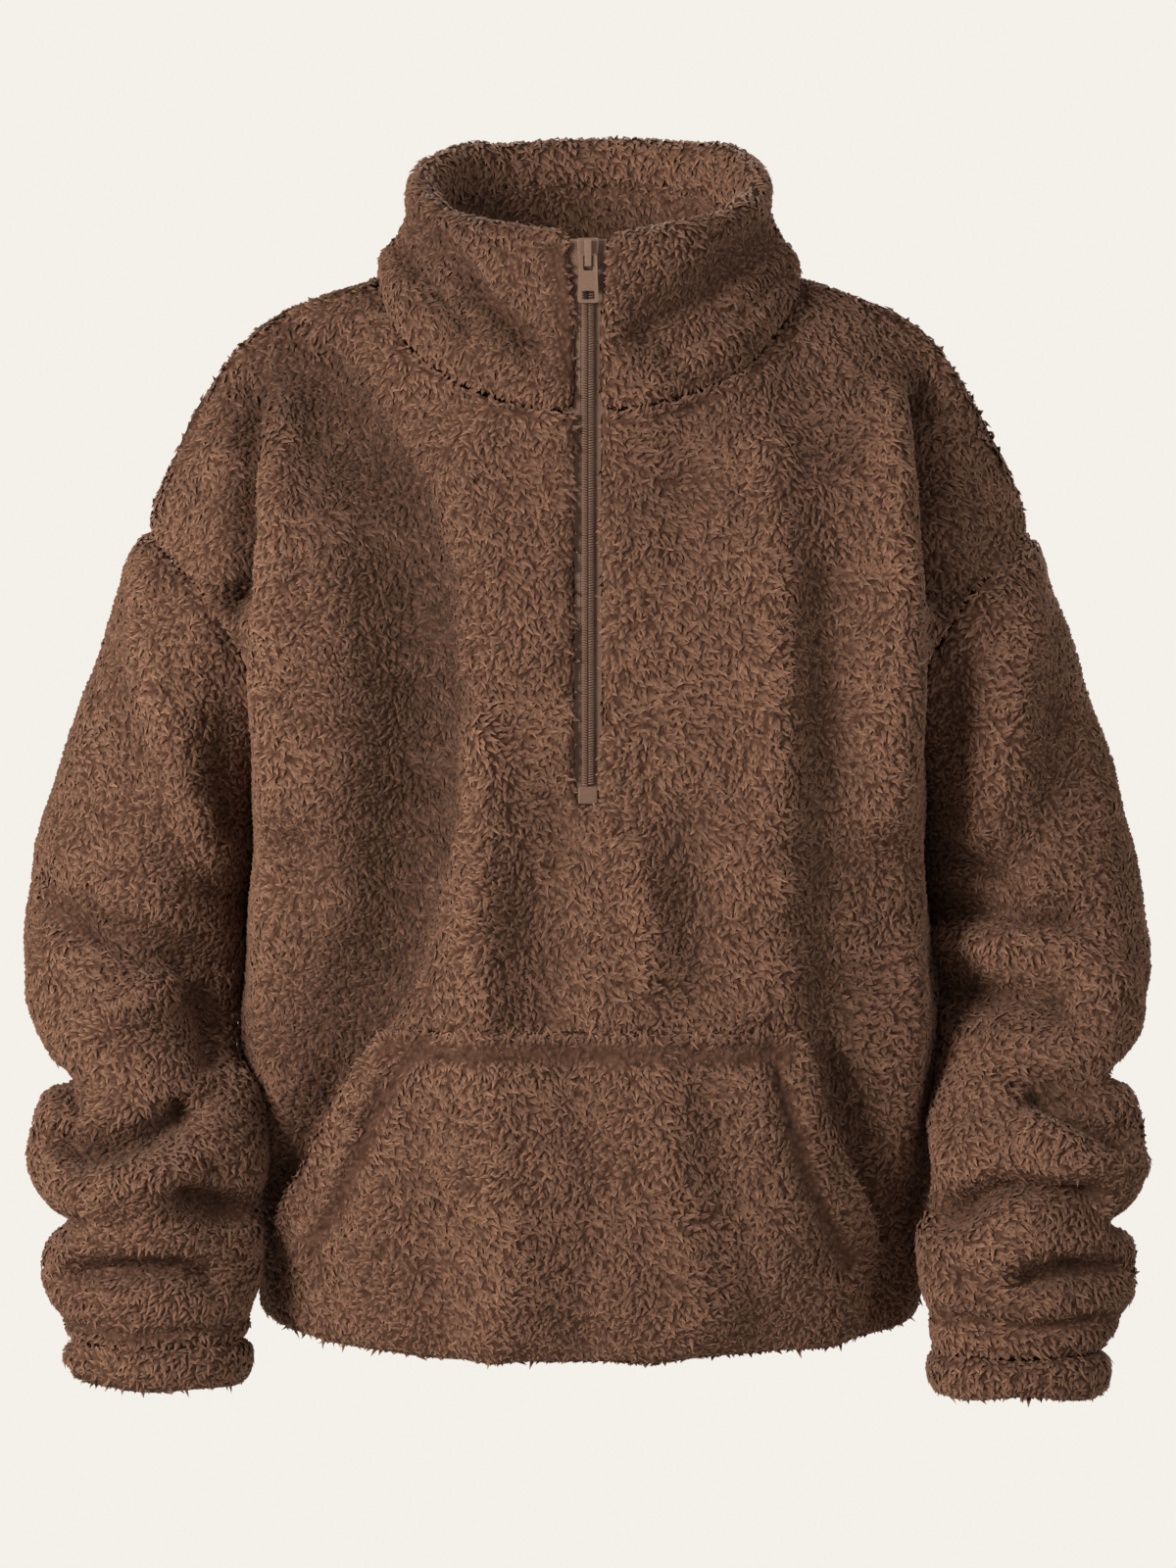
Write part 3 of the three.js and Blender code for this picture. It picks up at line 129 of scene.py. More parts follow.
# Colour of a lock: dark at the root and light at the tip, partly its own tone and partly painted shade
# down in the pile, and darkened or lightened by the tint: its own tone plus painted fold shade and highlight
def makePileTone():
    tree, given, result = newGroup("pileTone", [
        ("Root", "NodeSocketColor", colour(0.05, 0.03, 0.02)),
        ("Tip", "NodeSocketColor", colour(0.3, 0.2, 0.15)),
        ("Warm", "NodeSocketColor", colour(0.3, 0.2, 0.15)),
        ("Along", "NodeSocketFloat", 0.5),
        ("Tint", "NodeSocketFloat", 0.5),
        ("Rise", "NodeSocketFloat", 1.3),
    ], [("Color", "NodeSocketColor")])
    rise = addMath(tree, "POWER", given, "Along")
    link(tree, given, "Rise", rise, 1)
    spin = addMath(tree, "MULTIPLY", given, "Tint", 7.0)
    fraction = addMath(tree, "FRACT", spin, 0)
    tipMix = addMix(tree, fraction, 0)
    link(tree, given, "Tip", tipMix, mixFirst)
    link(tree, given, "Warm", tipMix, mixSecond)
    body = addMix(tree, rise, 0)
    link(tree, given, "Root", body, mixFirst)
    link(tree, tipMix, mixResult, body, mixSecond)
    # Brightness from the tint: the lock's own tone with painted shade in troughs and painted highlight on
    # ridges
    shade = addRange(tree, given, "Tint", 0.3, 1.7)
    hue = addNode(tree, "ShaderNodeHueSaturation")
    link(tree, shade, 0, hue, "Value")
    link(tree, body, mixResult, hue, "Color")
    link(tree, hue, 0, result, "Color")
    return tree


# Fine fibres, as a height
def makeFibres():
    tree, given, result = newGroup("fineFibres", [
        ("Scale", "NodeSocketFloat", 1200.0),
        ("Stretch", "NodeSocketVector", (1.0, 1.0, 0.35)),
    ], [("Height", "NodeSocketFloat")])
    stretch = addNode(tree, "ShaderNodeVectorMath", operation="MULTIPLY")
    linkPlace(tree, stretch, 0)
    link(tree, given, "Stretch", stretch, 1)
    noise = addNode(tree, "ShaderNodeTexNoise", {"Detail": 3.0, "Roughness": 0.65})
    link(tree, stretch, 0, noise, "Vector")
    link(tree, given, "Scale", noise, "Scale")
    link(tree, noise, "Fac", result, "Height")
    return tree


# Curled relief for the cloth between the locks
def makeCurls():
    tree, given, result = newGroup("curledRelief", [
        ("Scale", "NodeSocketFloat", 330.0),
    ], [("Height", "NodeSocketFloat")])
    bend = addNode(tree, "ShaderNodeTexNoise", {"Scale": 160.0, "Detail": 2.0})
    linkPlace(tree, bend)
    push = addNode(tree, "ShaderNodeVectorMath", {"Scale": 0.006}, operation="SCALE")
    link(tree, bend, "Color", push, 0)
    moved = addNode(tree, "ShaderNodeVectorMath", operation="ADD")
    linkPlace(tree, moved, 0)
    link(tree, push, 0, moved, 1)
    cells = addNode(tree, "ShaderNodeTexVoronoi", feature="SMOOTH_F1")
    link(tree, moved, 0, cells, "Vector")
    link(tree, given, "Scale", cells, "Scale")
    crests = addRange(tree, cells, "Distance", 1.0, 0.0, last=0.75)
    link(tree, crests, 0, result, "Height")
    return tree


# Rubbed edges of a hard part, from how sharply its surface turns
def makeWear():
    tree, given, result = newGroup("rubbedEdges", [
        ("Base", "NodeSocketColor", colour(0.3, 0.2, 0.15)),
        ("Rubbed", "NodeSocketColor", colour(0.6, 0.5, 0.4)),
        ("Scale", "NodeSocketFloat", 500.0),
    ], [("Color", "NodeSocketColor"), ("Mask", "NodeSocketFloat")])
    turn = addNode(tree, "ShaderNodeNewGeometry")
    edge = addRange(tree, turn, "Pointiness", 0.0, 1.0, first=0.52, last=0.62)
    noise = addNode(tree, "ShaderNodeTexNoise", {"Detail": 4.0})
    linkPlace(tree, noise)
    link(tree, given, "Scale", noise, "Scale")
    broken = addMath(tree, "MULTIPLY", edge, 0)
    link(tree, noise, "Fac", broken, 1)
    mixed = addMix(tree, broken, 0)
    link(tree, given, "Base", mixed, mixFirst)
    link(tree, given, "Rubbed", mixed, mixSecond)
    link(tree, mixed, mixResult, result, "Color")
    link(tree, broken, 0, result, "Mask")
    return tree


pileTone = makePileTone()
fineFibres = makeFibres()
curledRelief = makeCurls()
rubbedEdges = makeWear()


# Materials
pileLook = {
    # The dark root is partly the fibre's own tone and partly painted shade down in the pile
    "root": colour(0.048, 0.02, 0.011),
    "tip": colour(0.28, 0.142, 0.091),
    "warm": colour(0.315, 0.172, 0.108),
    "rise": 1.3,  # above 1, the light tip is shorter than the dark root
    "roughness": 0.9,
    "sheen": 0.2,
}


def makePileMaterial(name, look):
    material, tree, surface = newMaterial(name, {
        "Roughness": look["roughness"], "Specular IOR Level": 0.18, "Sheen Weight": look["sheen"],
        "Sheen Roughness": 0.45, "Sheen Tint": colour(0.85, 0.55, 0.4)})
    along = addNode(tree, "ShaderNodeAttribute", attribute_name="tip")
    # Each lock's own tone with painted shade and highlight from the folds, kept as an attribute
    toneAndShade = addNode(tree, "ShaderNodeAttribute", attribute_name="toneAndShade")
    tone = placeGroup(tree, pileTone, {
        "Root": look["root"], "Tip": look["tip"], "Warm": look["warm"], "Rise": look["rise"]})
    link(tree, along, "Fac", tone, "Along")
    link(tree, toneAndShade, "Fac", tone, "Tint")
    link(tree, tone, "Color", surface, "Base Color")
    fibres = placeGroup(tree, fineFibres, {"Scale": 1500.0, "Stretch": (1.0, 1.0, 0.3)})
    addBump(tree, fibres, "Height", surface, 0.35, 0.0006)
    return material


# Cloth under the pile: its colour follows the curled relief, darker in the hollows as painted shade
def makeBackingMaterial(name, root, tip, scale, strength):
    material, tree, surface = newMaterial(name, {"Roughness": 0.95, "Specular IOR Level": 0.1})
    curls = placeGroup(tree, curledRelief, {"Scale": scale})
    blend = addMix(tree, curls, "Height", (root, tip))
    link(tree, blend, mixResult, surface, "Base Color")
    addBump(tree, curls, "Height", surface, strength, 0.002)
    return material


# Woven zip tape: fine ribs that slant one way and then the other
def makeTapeMaterial():
    material, tree, surface = newMaterial("wovenTape", {"Roughness": 0.8, "Sheen Weight": 0.2})
    split = addNode(tree, "ShaderNodeSeparateXYZ")
    linkPlace(tree, split)
    zigzag = addMath(tree, "PINGPONG", split, "X", 0.0022)
    slant = addMath(tree, "ADD", zigzag, 0)
    link(tree, split, "Z", slant, 1)
    turns = addMath(tree, "MULTIPLY", slant, 0, 7000.0)
    wave = addMath(tree, "SINE", turns, 0)
    ribs = addRange(tree, wave, 0, 0.0, 1.0, first=-1.0)
    blend = addMix(tree, ribs, 0, (colour(0.13, 0.07, 0.044), colour(0.27, 0.155, 0.1)))
    link(tree, blend, mixResult, surface, "Base Color")
    addBump(tree, ribs, 0, surface, 0.6, 0.0003)
    return material


# Satin nylon of the coils and the stop, with faint drawn lines
def makeNylonMaterial():
    material, tree, surface = newMaterial("satinNylon", {})
    fibres = placeGroup(tree, fineFibres, {"Scale": 900.0, "Stretch": (0.2, 1.0, 1.0)})
    blend = addMix(tree, fibres, "Height", (colour(0.10, 0.052, 0.033), colour(0.205, 0.112, 0.073)))
    link(tree, blend, mixResult, surface, "Base Color")
    rough = addRange(tree, fibres, "Height", 0.38, 0.6)
    link(tree, rough, 0, surface, "Roughness")
    addBump(tree, fibres, "Height", surface, 0.25, 0.0001)
    return material


# Brown lacquer over metal, rubbed at the edges
def makeLacquerMaterial():
    material, tree, surface = newMaterial("brownLacquer", {"Coat Weight": 0.25, "Coat Roughness": 0.2})
    wear = placeGroup(tree, rubbedEdges, {
        "Base": colour(0.215, 0.122, 0.083), "Rubbed": colour(0.5, 0.34, 0.25), "Scale": 700.0})
    link(tree, wear, "Color", surface, "Base Color")
    grain = placeGroup(tree, fineFibres, {"Scale": 700.0, "Stretch": (1.0, 1.0, 1.0)})
    rough = addRange(tree, grain, "Height", 0.3, 0.48)
    link(tree, rough, 0, surface, "Roughness")
    metal = addRange(tree, wear, "Mask", 0.35, 0.8)
    link(tree, metal, 0, surface, "Metallic")
    addBump(tree, grain, "Height", surface, 0.08, 0.0002)
    return material


pileMaterial = makePileMaterial("sherpaPile", pileLook)
# The ground between the locks is partly the cloth's own tone and partly painted shade, kept dark
backingMaterial = makeBackingMaterial(
    "sherpaGround", colour(0.045, 0.02, 0.012), colour(0.15, 0.075, 0.048), 330.0, 0.8)
# The brushed inside: its own tone, darkened further as painted shade inside the neck
insideMaterial = makeBackingMaterial(
    "brushedInside", colour(0.04, 0.021, 0.014), colour(0.1, 0.056, 0.038), 900.0, 0.35)
tapeMaterial = makeTapeMaterial()
nylonMaterial = makeNylonMaterial()
lacquerMaterial = makeLacquerMaterial()
print("materials made")


# Cloth shells: lengths in millimetres, angles in degrees
shellLook = {
    "weld": 0.02,
    "pileDepth": 1.4,  # how far the pile side lies inside the solid's own skin
    "rimCrease": 0.8,
    "skinAngle": 52,
    "joinAngle": 45,
    "joinShape": 100,
    "clear": 0.1,  # where a ray starts, off its own face
    "freeReach": 5.0,  # a rim face with no other cloth this near is a free edge, not a seam
}

# Each piece of cloth: a point in its hollow in millimetres, and the flat size and area that show.
# Some have a skin angle of their own, show their inner skin, rise with the rim's corners, have
# a lip turned in at the rim, or have painted shade that darkens their pile.
cloth = {
    "front": {"hollow": (0, 0, -300), "flat": (0.62, 0.66), "area": 0.29, "skinAngle": 40},
    "back": {"hollow": (0, 0, -300), "flat": (0.62, 0.70), "area": 0.30},
    "sleeve_right": {"hollow": (-250, -20, -400), "flat": (0.42, 0.50), "area": 0.14},
    "sleeve_left": {"hollow": (250, -20, -400), "flat": (0.42, 0.50), "area": 0.14},
    "cuff_right": {"hollow": (-243, -76, -610), "flat": (0.27, 0.027), "area": None},
    "cuff_left": {"hollow": (243, -76, -610), "flat": (0.27, 0.027), "area": None},
    "collar": {"hollow": (0, 0, 20), "flat": (0.66, 0.14), "area": 0.064, "skinAngle": 58,
               "squared": True, "lip": True},
    # The facing inside the neck has painted shade over all its pile
    "collar_facing": {"hollow": (0, 0, 20), "flat": (0.54, 0.05), "area": None, "visible": "inside",
                      "skinAngle": 58, "squared": True, "shade": -10},
    "pocket": {"hollow": (0, 0, -500), "flat": (0.36, 0.22), "area": 0.066},
}


def readValues(items, name, columns, kind):
    values = np.empty(len(items) * columns, kind)
    items.foreach_get(name, values)
    return values.reshape(-1, columns)


# The points and normals of a mesh, the corners of its triangles, and the skin that each lies on
def readMesh(mesh):
    mesh.calc_loop_triangles()
    points = readValues(mesh.vertices, "co", 3, np.float32).astype(float)
    normals = readValues(mesh.vertices, "normal", 3, np.float32).astype(float)
    corners = readValues(mesh.loop_triangles, "vertices", 3, np.int32)
    kinds = readValues(mesh.loop_triangles, "material_index", 1, np.int32).ravel()
    return points, normals, corners, kinds


def nodeTree(node):
    points, _, corners, _ = readMesh(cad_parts[node].data)
    return BVHTree.FromPolygons([Vector(p) for p in points], [tuple(int(i) for i in t) for t in corners])


def newBmesh(node):
    source = bmesh.new()
    source.from_mesh(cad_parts[node].data)
    bmesh.ops.remove_doubles(source, verts=source.verts, dist=shellLook["weld"] * mm)
    return source


# Marks the skins of a wall: the two largest runs of faces that turn gently into each other
def markSkins(cage, node, plan):
    limit = math.radians(plan.get("skinAngle", shellLook["skinAngle"]))
    turned = plan.get("visible") == "inside"
    seen, runs = set(), []
    for first in cage.faces:
        if first in seen:
            continue
        run, waiting = [], [first]
        seen.add(first)
        while waiting:
            face = waiting.pop()
            run.append(face)
            for edge in face.edges:
                if len(edge.link_faces) != 2 or edge.calc_face_angle() > limit:
                    continue
                for other in edge.link_faces:
                    if other not in seen:
                        seen.add(other)
                        waiting.append(other)
        runs.append(run)
    runs.sort(key=lambda run: -sum(face.calc_area() for face in run))
    centre = Vector(plan["hollow"]) * mm
    others = [nodeTree(name) for name in cloth if name != node]
    reach = shellLook["freeReach"] * mm
    for run in runs[2:]:
        for face in run:
            start = face.calc_center_median() + face.normal * shellLook["clear"] * mm
            isFree = all(tree.ray_cast(start, face.normal, reach)[0] is None for tree in others)
            face.material_index = outsideFace if isFree else rimFace
    for run in runs[:2]:
        away = sum(face.normal.dot(face.calc_center_median() - centre) * face.calc_area() for face in run)
        skin = outsideFace if (away > 0) != turned else insideFace
        for face in run:
            face.material_index = skin


# Pulls the pile side of a wall in, so that the locks end at the solid's own skin
def sinkPileSide(cage, depth):
    moves = []
    for vert in cage.verts:
        pileFaces = [face for face in vert.link_faces if face.material_index == outsideFace]
        if pileFaces:
            normal = sum((face.normal * face.calc_area() for face in pileFaces), Vector())
            moves.append((vert, normal.normalized() * -depth * mm))
    for vert, move in moves:
        vert.co += move


def meshObject(name, mesh, materials):
    piece = bpy.data.objects.new(name, mesh)
    scene.collection.objects.link(piece)
    for material in materials:
        mesh.materials.append(material)
    return piece


def finishBmesh(made, name, materials, smooth=True):
    mesh = bpy.data.meshes.new(name)
    made.to_mesh(mesh)
    made.free()
    if smooth:
        mesh.shade_smooth()
    return meshObject(name, mesh, materials)


def applyModifiers(piece):
    shown = piece.evaluated_get(bpy.context.evaluated_depsgraph_get())
    mesh = bpy.data.meshes.new_from_object(shown)
    old = piece.data
    piece.modifiers.clear()
    piece.data = mesh
    bpy.data.meshes.remove(old)


# A second, finer division of the pile side alone
def refinePileSide(piece):
    fine = bmesh.new()
    fine.from_mesh(piece.data)
    pileFaces = [face for face in fine.faces if face.material_index == outsideFace]
    edges = list({edge for face in pileFaces for edge in face.edges})
    made = bmesh.ops.subdivide_edges(fine, edges=edges, cuts=1, use_grid_fill=True)
    added = [item for item in made["geom_inner"] if isinstance(item, bmesh.types.BMVert)]
    inner = [vert for vert in added
             if all(face.material_index == outsideFace for face in vert.link_faces)]
    bmesh.ops.smooth_vert(fine, verts=inner, factor=0.5, use_axis_x=True, use_axis_y=True, use_axis_z=True)
    for face in fine.faces:
        face.smooth = True
    fine.to_mesh(piece.data)
    fine.free()


def makeShell(node, plan):
    cage = newBmesh(node)
    bmesh.ops.join_triangles(
        cage, faces=cage.faces, angle_face_threshold=math.radians(shellLook["joinAngle"]),
        angle_shape_threshold=math.radians(shellLook["joinShape"]))
    cage.normal_update()
    markSkins(cage, node, plan)
    sinkPileSide(cage, shellLook["pileDepth"])
    sharp = cage.edges.layers.float.new("crease_edge")
    for edge in cage.edges:
        kinds = {face.material_index for face in edge.link_faces}
        if len(kinds) > 1:
            edge[sharp] = shellLook["rimCrease"]
    shell = finishBmesh(
        cage, node + "_cloth", [backingMaterial, insideMaterial, backingMaterial], smooth=False)
    smooth = shell.modifiers.new("smooth", "SUBSURF")
    smooth.levels = smooth.render_levels = 1
    applyModifiers(shell)
    refinePileSide(shell)
    return shell


# Soft waves over space, about from -1 to 1, the same each time for one seed
def softWaves(points, wavelength, seed, count=5, peak=1.6):
    draw = np.random.default_rng(seed)
    total = np.zeros(len(points))
    for _ in range(count):
        way = draw.normal(size=3)
        way *= 2 * math.pi / (wavelength * mm * draw.uniform(0.75, 1.3) * np.linalg.norm(way))
        total += np.sin(points @ way + draw.uniform(0, 2 * math.pi))
    return total / math.sqrt(count / 2) / peak


def pointTree(points):
    tree = KDTree(len(points))
    for i, point in enumerate(points):
        tree.insert(point, i)
    tree.balance()
    return tree


# Distance from each point to the nearest of some targets, and the way there
def nearest(points, targets, nothingNear=1.0):
    away = np.full(len(points), nothingNear)
    way = np.zeros((len(points), 3))
    if len(targets):
        tree = pointTree(targets)
        for i, point in enumerate(points):
            found, _, away[i] = tree.find(point)
            way[i] = found
        way -= points
    return away, way


# Distance in the front view from points to a line of points in millimetres, the way to the
# line, and on which side of it they lie: plus is left of someone who walks along it
def lineDistance(points, line):
    flat = points[:, [0, 2]] / mm
    best = np.full(len(flat), np.inf)
    toLine = np.zeros((len(flat), 2))
    side = np.ones(len(flat))
    for start, end in zip(np.array(line[:-1], float), np.array(line[1:], float)):
        step = end - start
        t = np.clip(((flat - start) @ step) / (step @ step), 0, 1)
        gap = start + t[:, None] * step - flat
        distance = np.linalg.norm(gap, axis=1)
        nearer = distance < best
        best[nearer] = distance[nearer]
        toLine[nearer] = gap[nearer]
        side[nearer] = np.where(gap[nearer, 0] * step[1] - gap[nearer, 1] * step[0] > 0, 1, -1)
    return best, np.insert(toLine, 1, 0, axis=1), side


# A crease given in the front view: a line in X and Z, how wide to the left and to the
# right of someone who walks along it, and how far it stands out, in millimetres. Pinch draws the
# cloth beside a crease towards it. Shade is painted shade: it darkens the pile there as that many
# millimetres of depth would. A crease fades where the cloth turns edge-on to the front view,
# unless it goes all round.
def crease(line, wide, out=0, shade=0, pinch=0, allRound=False):
    sides = wide if isinstance(wide, tuple) else (wide, wide)
    return {"line": line, "wide": sides, "out": out, "shade": shade, "pinch": pinch, "allRound": allRound}


# The creases deepen the folds that the solids already have, and paint shade into the pile along them; a
# crease that does not stand out is painted shade alone
creases = {
    "front": [
        crease([(-148, -46), (-128, -80), (-104, -118), (-88, -165), (-81, -238), (-85, -293),
                (-96, -337), (-112, -391), (-136, -446)], (14, 44), out=-20, shade=-8),
        crease([(-150, -58), (-60, -110), (60, -110), (150, -58)], 52, shade=-4.5),
        crease([(-192, -66), (-193, -110), (-194, -176)], (8, 9), out=-21, pinch=4),
        crease([(-195, -62), (-196, -120), (-197, -176)], (10, 8), shade=-20, allRound=True),
        crease([(-194, -170), (-198, -260), (-199, -330), (-196, -400), (-187, -470)],
                5, shade=-13, allRound=True),
        crease([(-176, -70), (-178, -180), (-181, -300), (-183, -420), (-177, -490)], 12, out=8),
        crease([(-62, -250), (-57, -340), (-60, -413)], 13, out=8),
        crease([(-18, -300), (-24, -350), (-20, -405)], (16, 20), out=-7, shade=-2),
        crease([(28, -322), (31, -391)], 10, out=5),
        crease([(56, -300), (62, -396)], (16, 14), out=-5, shade=-2),
        crease([(48, -80), (56, -151)], 15, out=-5),
        crease([(102, -100), (107, -200), (105, -337)], 16, out=6),
        crease([(134, -170), (137, -260), (136, -413)], (17, 19), out=-8),
        crease([(170, -72), (175, -160), (179, -300), (182, -420), (174, -500)], 12, out=8),
        crease([(189, -60), (192, -120), (193, -176)], (9, 8), out=-21, pinch=4),
        crease([(193, -170), (197, -260), (199, -330), (197, -400), (190, -470)],
                5, shade=-12, allRound=True),
        crease([(-236, -128), (-242, -140)], 11, out=4, allRound=True),
        crease([(236, -128), (242, -140)], 11, out=4, allRound=True),
        crease([(-147, -448), (-164, -492), (-172, -530)], 9, out=-8, shade=-3),
        crease([(136, -436), (152, -500), (160, -535)], (11, 9), out=-11, shade=-4),
        crease([(-124, -8), (-104, -25), (-72, -49), (-30, -65), (0, -69), (30, -65), (72, -49),
                (104, -25), (124, -8)], 5, shade=-9, allRound=True),
        crease([(-52, -62), (-66, -110)], 9, out=3),
    ],
    "back": [
        crease([(-236, -128), (-242, -140)], 11, out=4, allRound=True),
        crease([(236, -128), (242, -140)], 11, out=4, allRound=True),
        crease([(-60, -60), (0, -82), (60, -58)], 12, out=-3.5),
        crease([(-150, -120), (-112, -220), (-106, -330), (-132, -420)], (12, 34), out=-9),
        crease([(150, -130), (116, -240), (112, -340), (136, -440)], (32, 12), out=-8),
        crease([(-178, -90), (-180, -300), (-182, -470)], 12, out=4),
        crease([(176, -90), (180, -300), (182, -470)], 12, out=4),
        crease([(-20, -150), (-10, -260), (-30, -400)], (14, 20), out=-5),
        crease([(40, -260), (52, -420), (44, -560)], 14, out=4),
        crease([(78, -380), (92, -470), (84, -560)], 12, out=-4),
        crease([(-80, -420), (-70, -500), (-88, -580)], 12, out=-4),
    ],
    "sleeve_right": [
        crease([(-200, -326), (-201, -400), (-196, -440), (-187, -480), (-184, -530)],
                13, out=6, shade=-6, allRound=True),
        crease([(-306, -280), (-316, -340), (-318, -425)], 22, out=4, shade=-4, allRound=True),
        crease([(-246, -146), (-252, -162)], 12, out=4, allRound=True),
        crease([(-200, -176), (-202, -260), (-202, -330), (-199, -400), (-190, -470)],
                5, shade=-12, allRound=True),
        crease([(-206, -178), (-206, -260), (-206, -330)], (11, 7), out=-4),
        crease([(-252, -176), (-247, -215), (-228, -282), (-212, -328)], 12, out=7),
        crease([(-268, -176), (-270, -230), (-256, -280)], 12, out=-5),
        crease([(-290, -336), (-238, -358), (-202, -384)], 12, out=5),
        crease([(-298, -352), (-262, -377), (-226, -388)], (17, 8), out=-13, shade=-4, pinch=2),
        crease([(-280, -424), (-252, -411), (-222, -395)], (11, 8), out=6),
        crease([(-224, -402), (-214, -418), (-212, -438)], (12, 9), out=-14, shade=-3),
        crease([(-316, -443), (-298, -450), (-287, -462)], 6, out=-9, pinch=3, allRound=True),
        crease([(-296, -478), (-284, -485), (-268, -481), (-246, -474), (-226, -463)],
                (7, 12), out=-17, shade=-6, pinch=3),
        crease([(-298, -501), (-250, -500), (-222, -492)], 8, out=4),
        crease([(-222, -512), (-206, -518), (-190, -524)], (8, 11), out=-15, shade=-6, pinch=2),
        crease([(-318, -528), (-298, -530), (-280, -526)], (5, 6), out=-8, pinch=3, allRound=True),
        crease([(-266, -510), (-274, -522)], 9, out=5),
        crease([(-288, -555), (-270, -553), (-250, -551), (-226, -550), (-208, -557)],
                (6, 9), out=-15, shade=-6, pinch=3),
        crease([(-300, -586), (-260, -590), (-196, -586)], 5, out=-4, shade=-7, pinch=2),
    ],
    "sleeve_left": [
        crease([(201, -326), (203, -400), (201, -440), (197, -480), (188, -530)],
                13, out=6, shade=-6, allRound=True),
        crease([(306, -280), (314, -340), (316, -425)], 22, out=4, shade=-4, allRound=True),
        crease([(246, -146), (252, -162)], 12, out=4, allRound=True),
        crease([(199, -176), (202, -260), (202, -330), (201, -400), (194, -470)],
                5, shade=-11, allRound=True),
        crease([(206, -178), (206, -260), (206, -318)], (7, 11), out=-4),
        crease([(246, -190), (232, -260), (222, -312)], 13, out=5),
        crease([(270, -210), (262, -290), (240, -340)], 13, out=-4),
        crease([(200, -322), (214, -332), (226, -338)], 8, out=-8),
        crease([(200, -360), (232, -360), (275, -361)], (13, 8), out=-12, shade=-3),
        crease([(198, -377), (221, -373), (254, -373), (278, -382), (296, -396)], (8, 10), out=7),
        crease([(198, -401), (222, -403), (262, -407)], (8, 13), out=-15, shade=-6, pinch=3),
        crease([(318, -444), (300, -448)], 6, out=-8, pinch=3, allRound=True),
        crease([(246, -456), (268, -464), (286, -474), (300, -483)], (16, 6), out=-15, shade=-4, pinch=2),
        crease([(250, -474), (276, -488), (304, -499)], 8, out=5),
        crease([(196, -525), (212, -514), (228, -506), (250, -505), (282, -511)],
                (6, 11), out=-16, shade=-6, pinch=3),
        crease([(318, -528), (298, -531)], 6, out=-8, pinch=3, allRound=True),
        crease([(242, -556), (266, -550), (300, -552)], (7, 11), out=-15, shade=-6, pinch=3),
        crease([(204, -553), (222, -557)], 7, out=-4),
        crease([(196, -580), (250, -586), (300, -580)], 5, out=-6, shade=-6, pinch=2),
    ],
    "cuff_right": [
        crease([(-292, -622), (-280, -634)], 13, out=-6, allRound=True),
    ],
    "collar": [
        crease([(-92, 22), (-40, -24)], 46, shade=-13),
        crease([(-96, 32), (-88, 22), (-66, -4), (-33, -37)], (9, 7), out=-12, pinch=2),
        crease([(-112, 24), (-106, 16), (-88, -8), (-66, -30)], 6, out=-9, shade=-3, pinch=1),
        crease([(112, 30), (100, 22), (84, 6), (60, -16), (33, -32)], (10, 16), out=-12, pinch=2),
        crease([(114, 8), (82, -22), (48, -42)], 7, out=-6),
        crease([(-104, 8), (-72, -28), (-30, -60)], 7, out=2.5),
        crease([(104, 8), (74, -34), (32, -60)], 7, out=2.5),
    ],
    "pocket": [
        crease([(-94, -427), (-113, -453), (-124, -481), (-139, -519), (-155, -543)],
                4, out=-3.4, shade=-5),
        crease([(102, -429), (112, -463), (121, -496), (137, -536), (146, -551)], 4, out=-3.4, shade=-7),
        crease([(-109, -430), (-54, -431), (0, -431), (54, -432), (109, -432)], 4, out=-2.4, shade=-5),
        crease([(-63, -420), (-50, -473), (-44, -540), (-52, -600)], 14, out=5),
        crease([(-8, -440), (4, -500), (-4, -590)], 17, out=-4.5),
        crease([(-98, -470), (-88, -530), (-84, -590)], 13, out=-4),
        crease([(70, -450), (84, -520), (96, -590)], 14, out=-3.5),
        crease([(40, -430), (48, -500), (60, -580)], 12, out=3),
    ],
}
foldLook = {
    "wavelength": 58,  # of the soft waves between the creases
    "height": 1.5,
    "seed": 11,
    "facing": 1.6,  # above 1, a crease fades only on cloth that is nearly edge-on
    "seamFade": 14,  # how near a seam the creases of the front and the back fade
    "hiddenTrough": 4,  # how much wider a trough is on the skins behind
    "hiddenRidge": 1,  # how much narrower a ridge is there
    "deeperBehind": 1.2,
    "deeperLining": 1.35,
}


# The sides of the collar's rim are lifted, so that it runs level and turns down at rounded corners
rimShape = {"lift": 8.5, "from": 32, "to": 86, "low": 22, "high": 74, "ease": 1.5}


def rimLift(points):
    start, end = rimShape["from"], rimShape["to"]
    across = np.clip((np.abs(points[:, 0]) / mm - start) / (end - start), 0, 1)
    up = np.clip((points[:, 2] / mm - rimShape["low"]) / (rimShape["high"] - rimShape["low"]), 0, 1)
    return rimShape["lift"] * mm * across ** rimShape["ease"] * up ** rimShape["ease"]
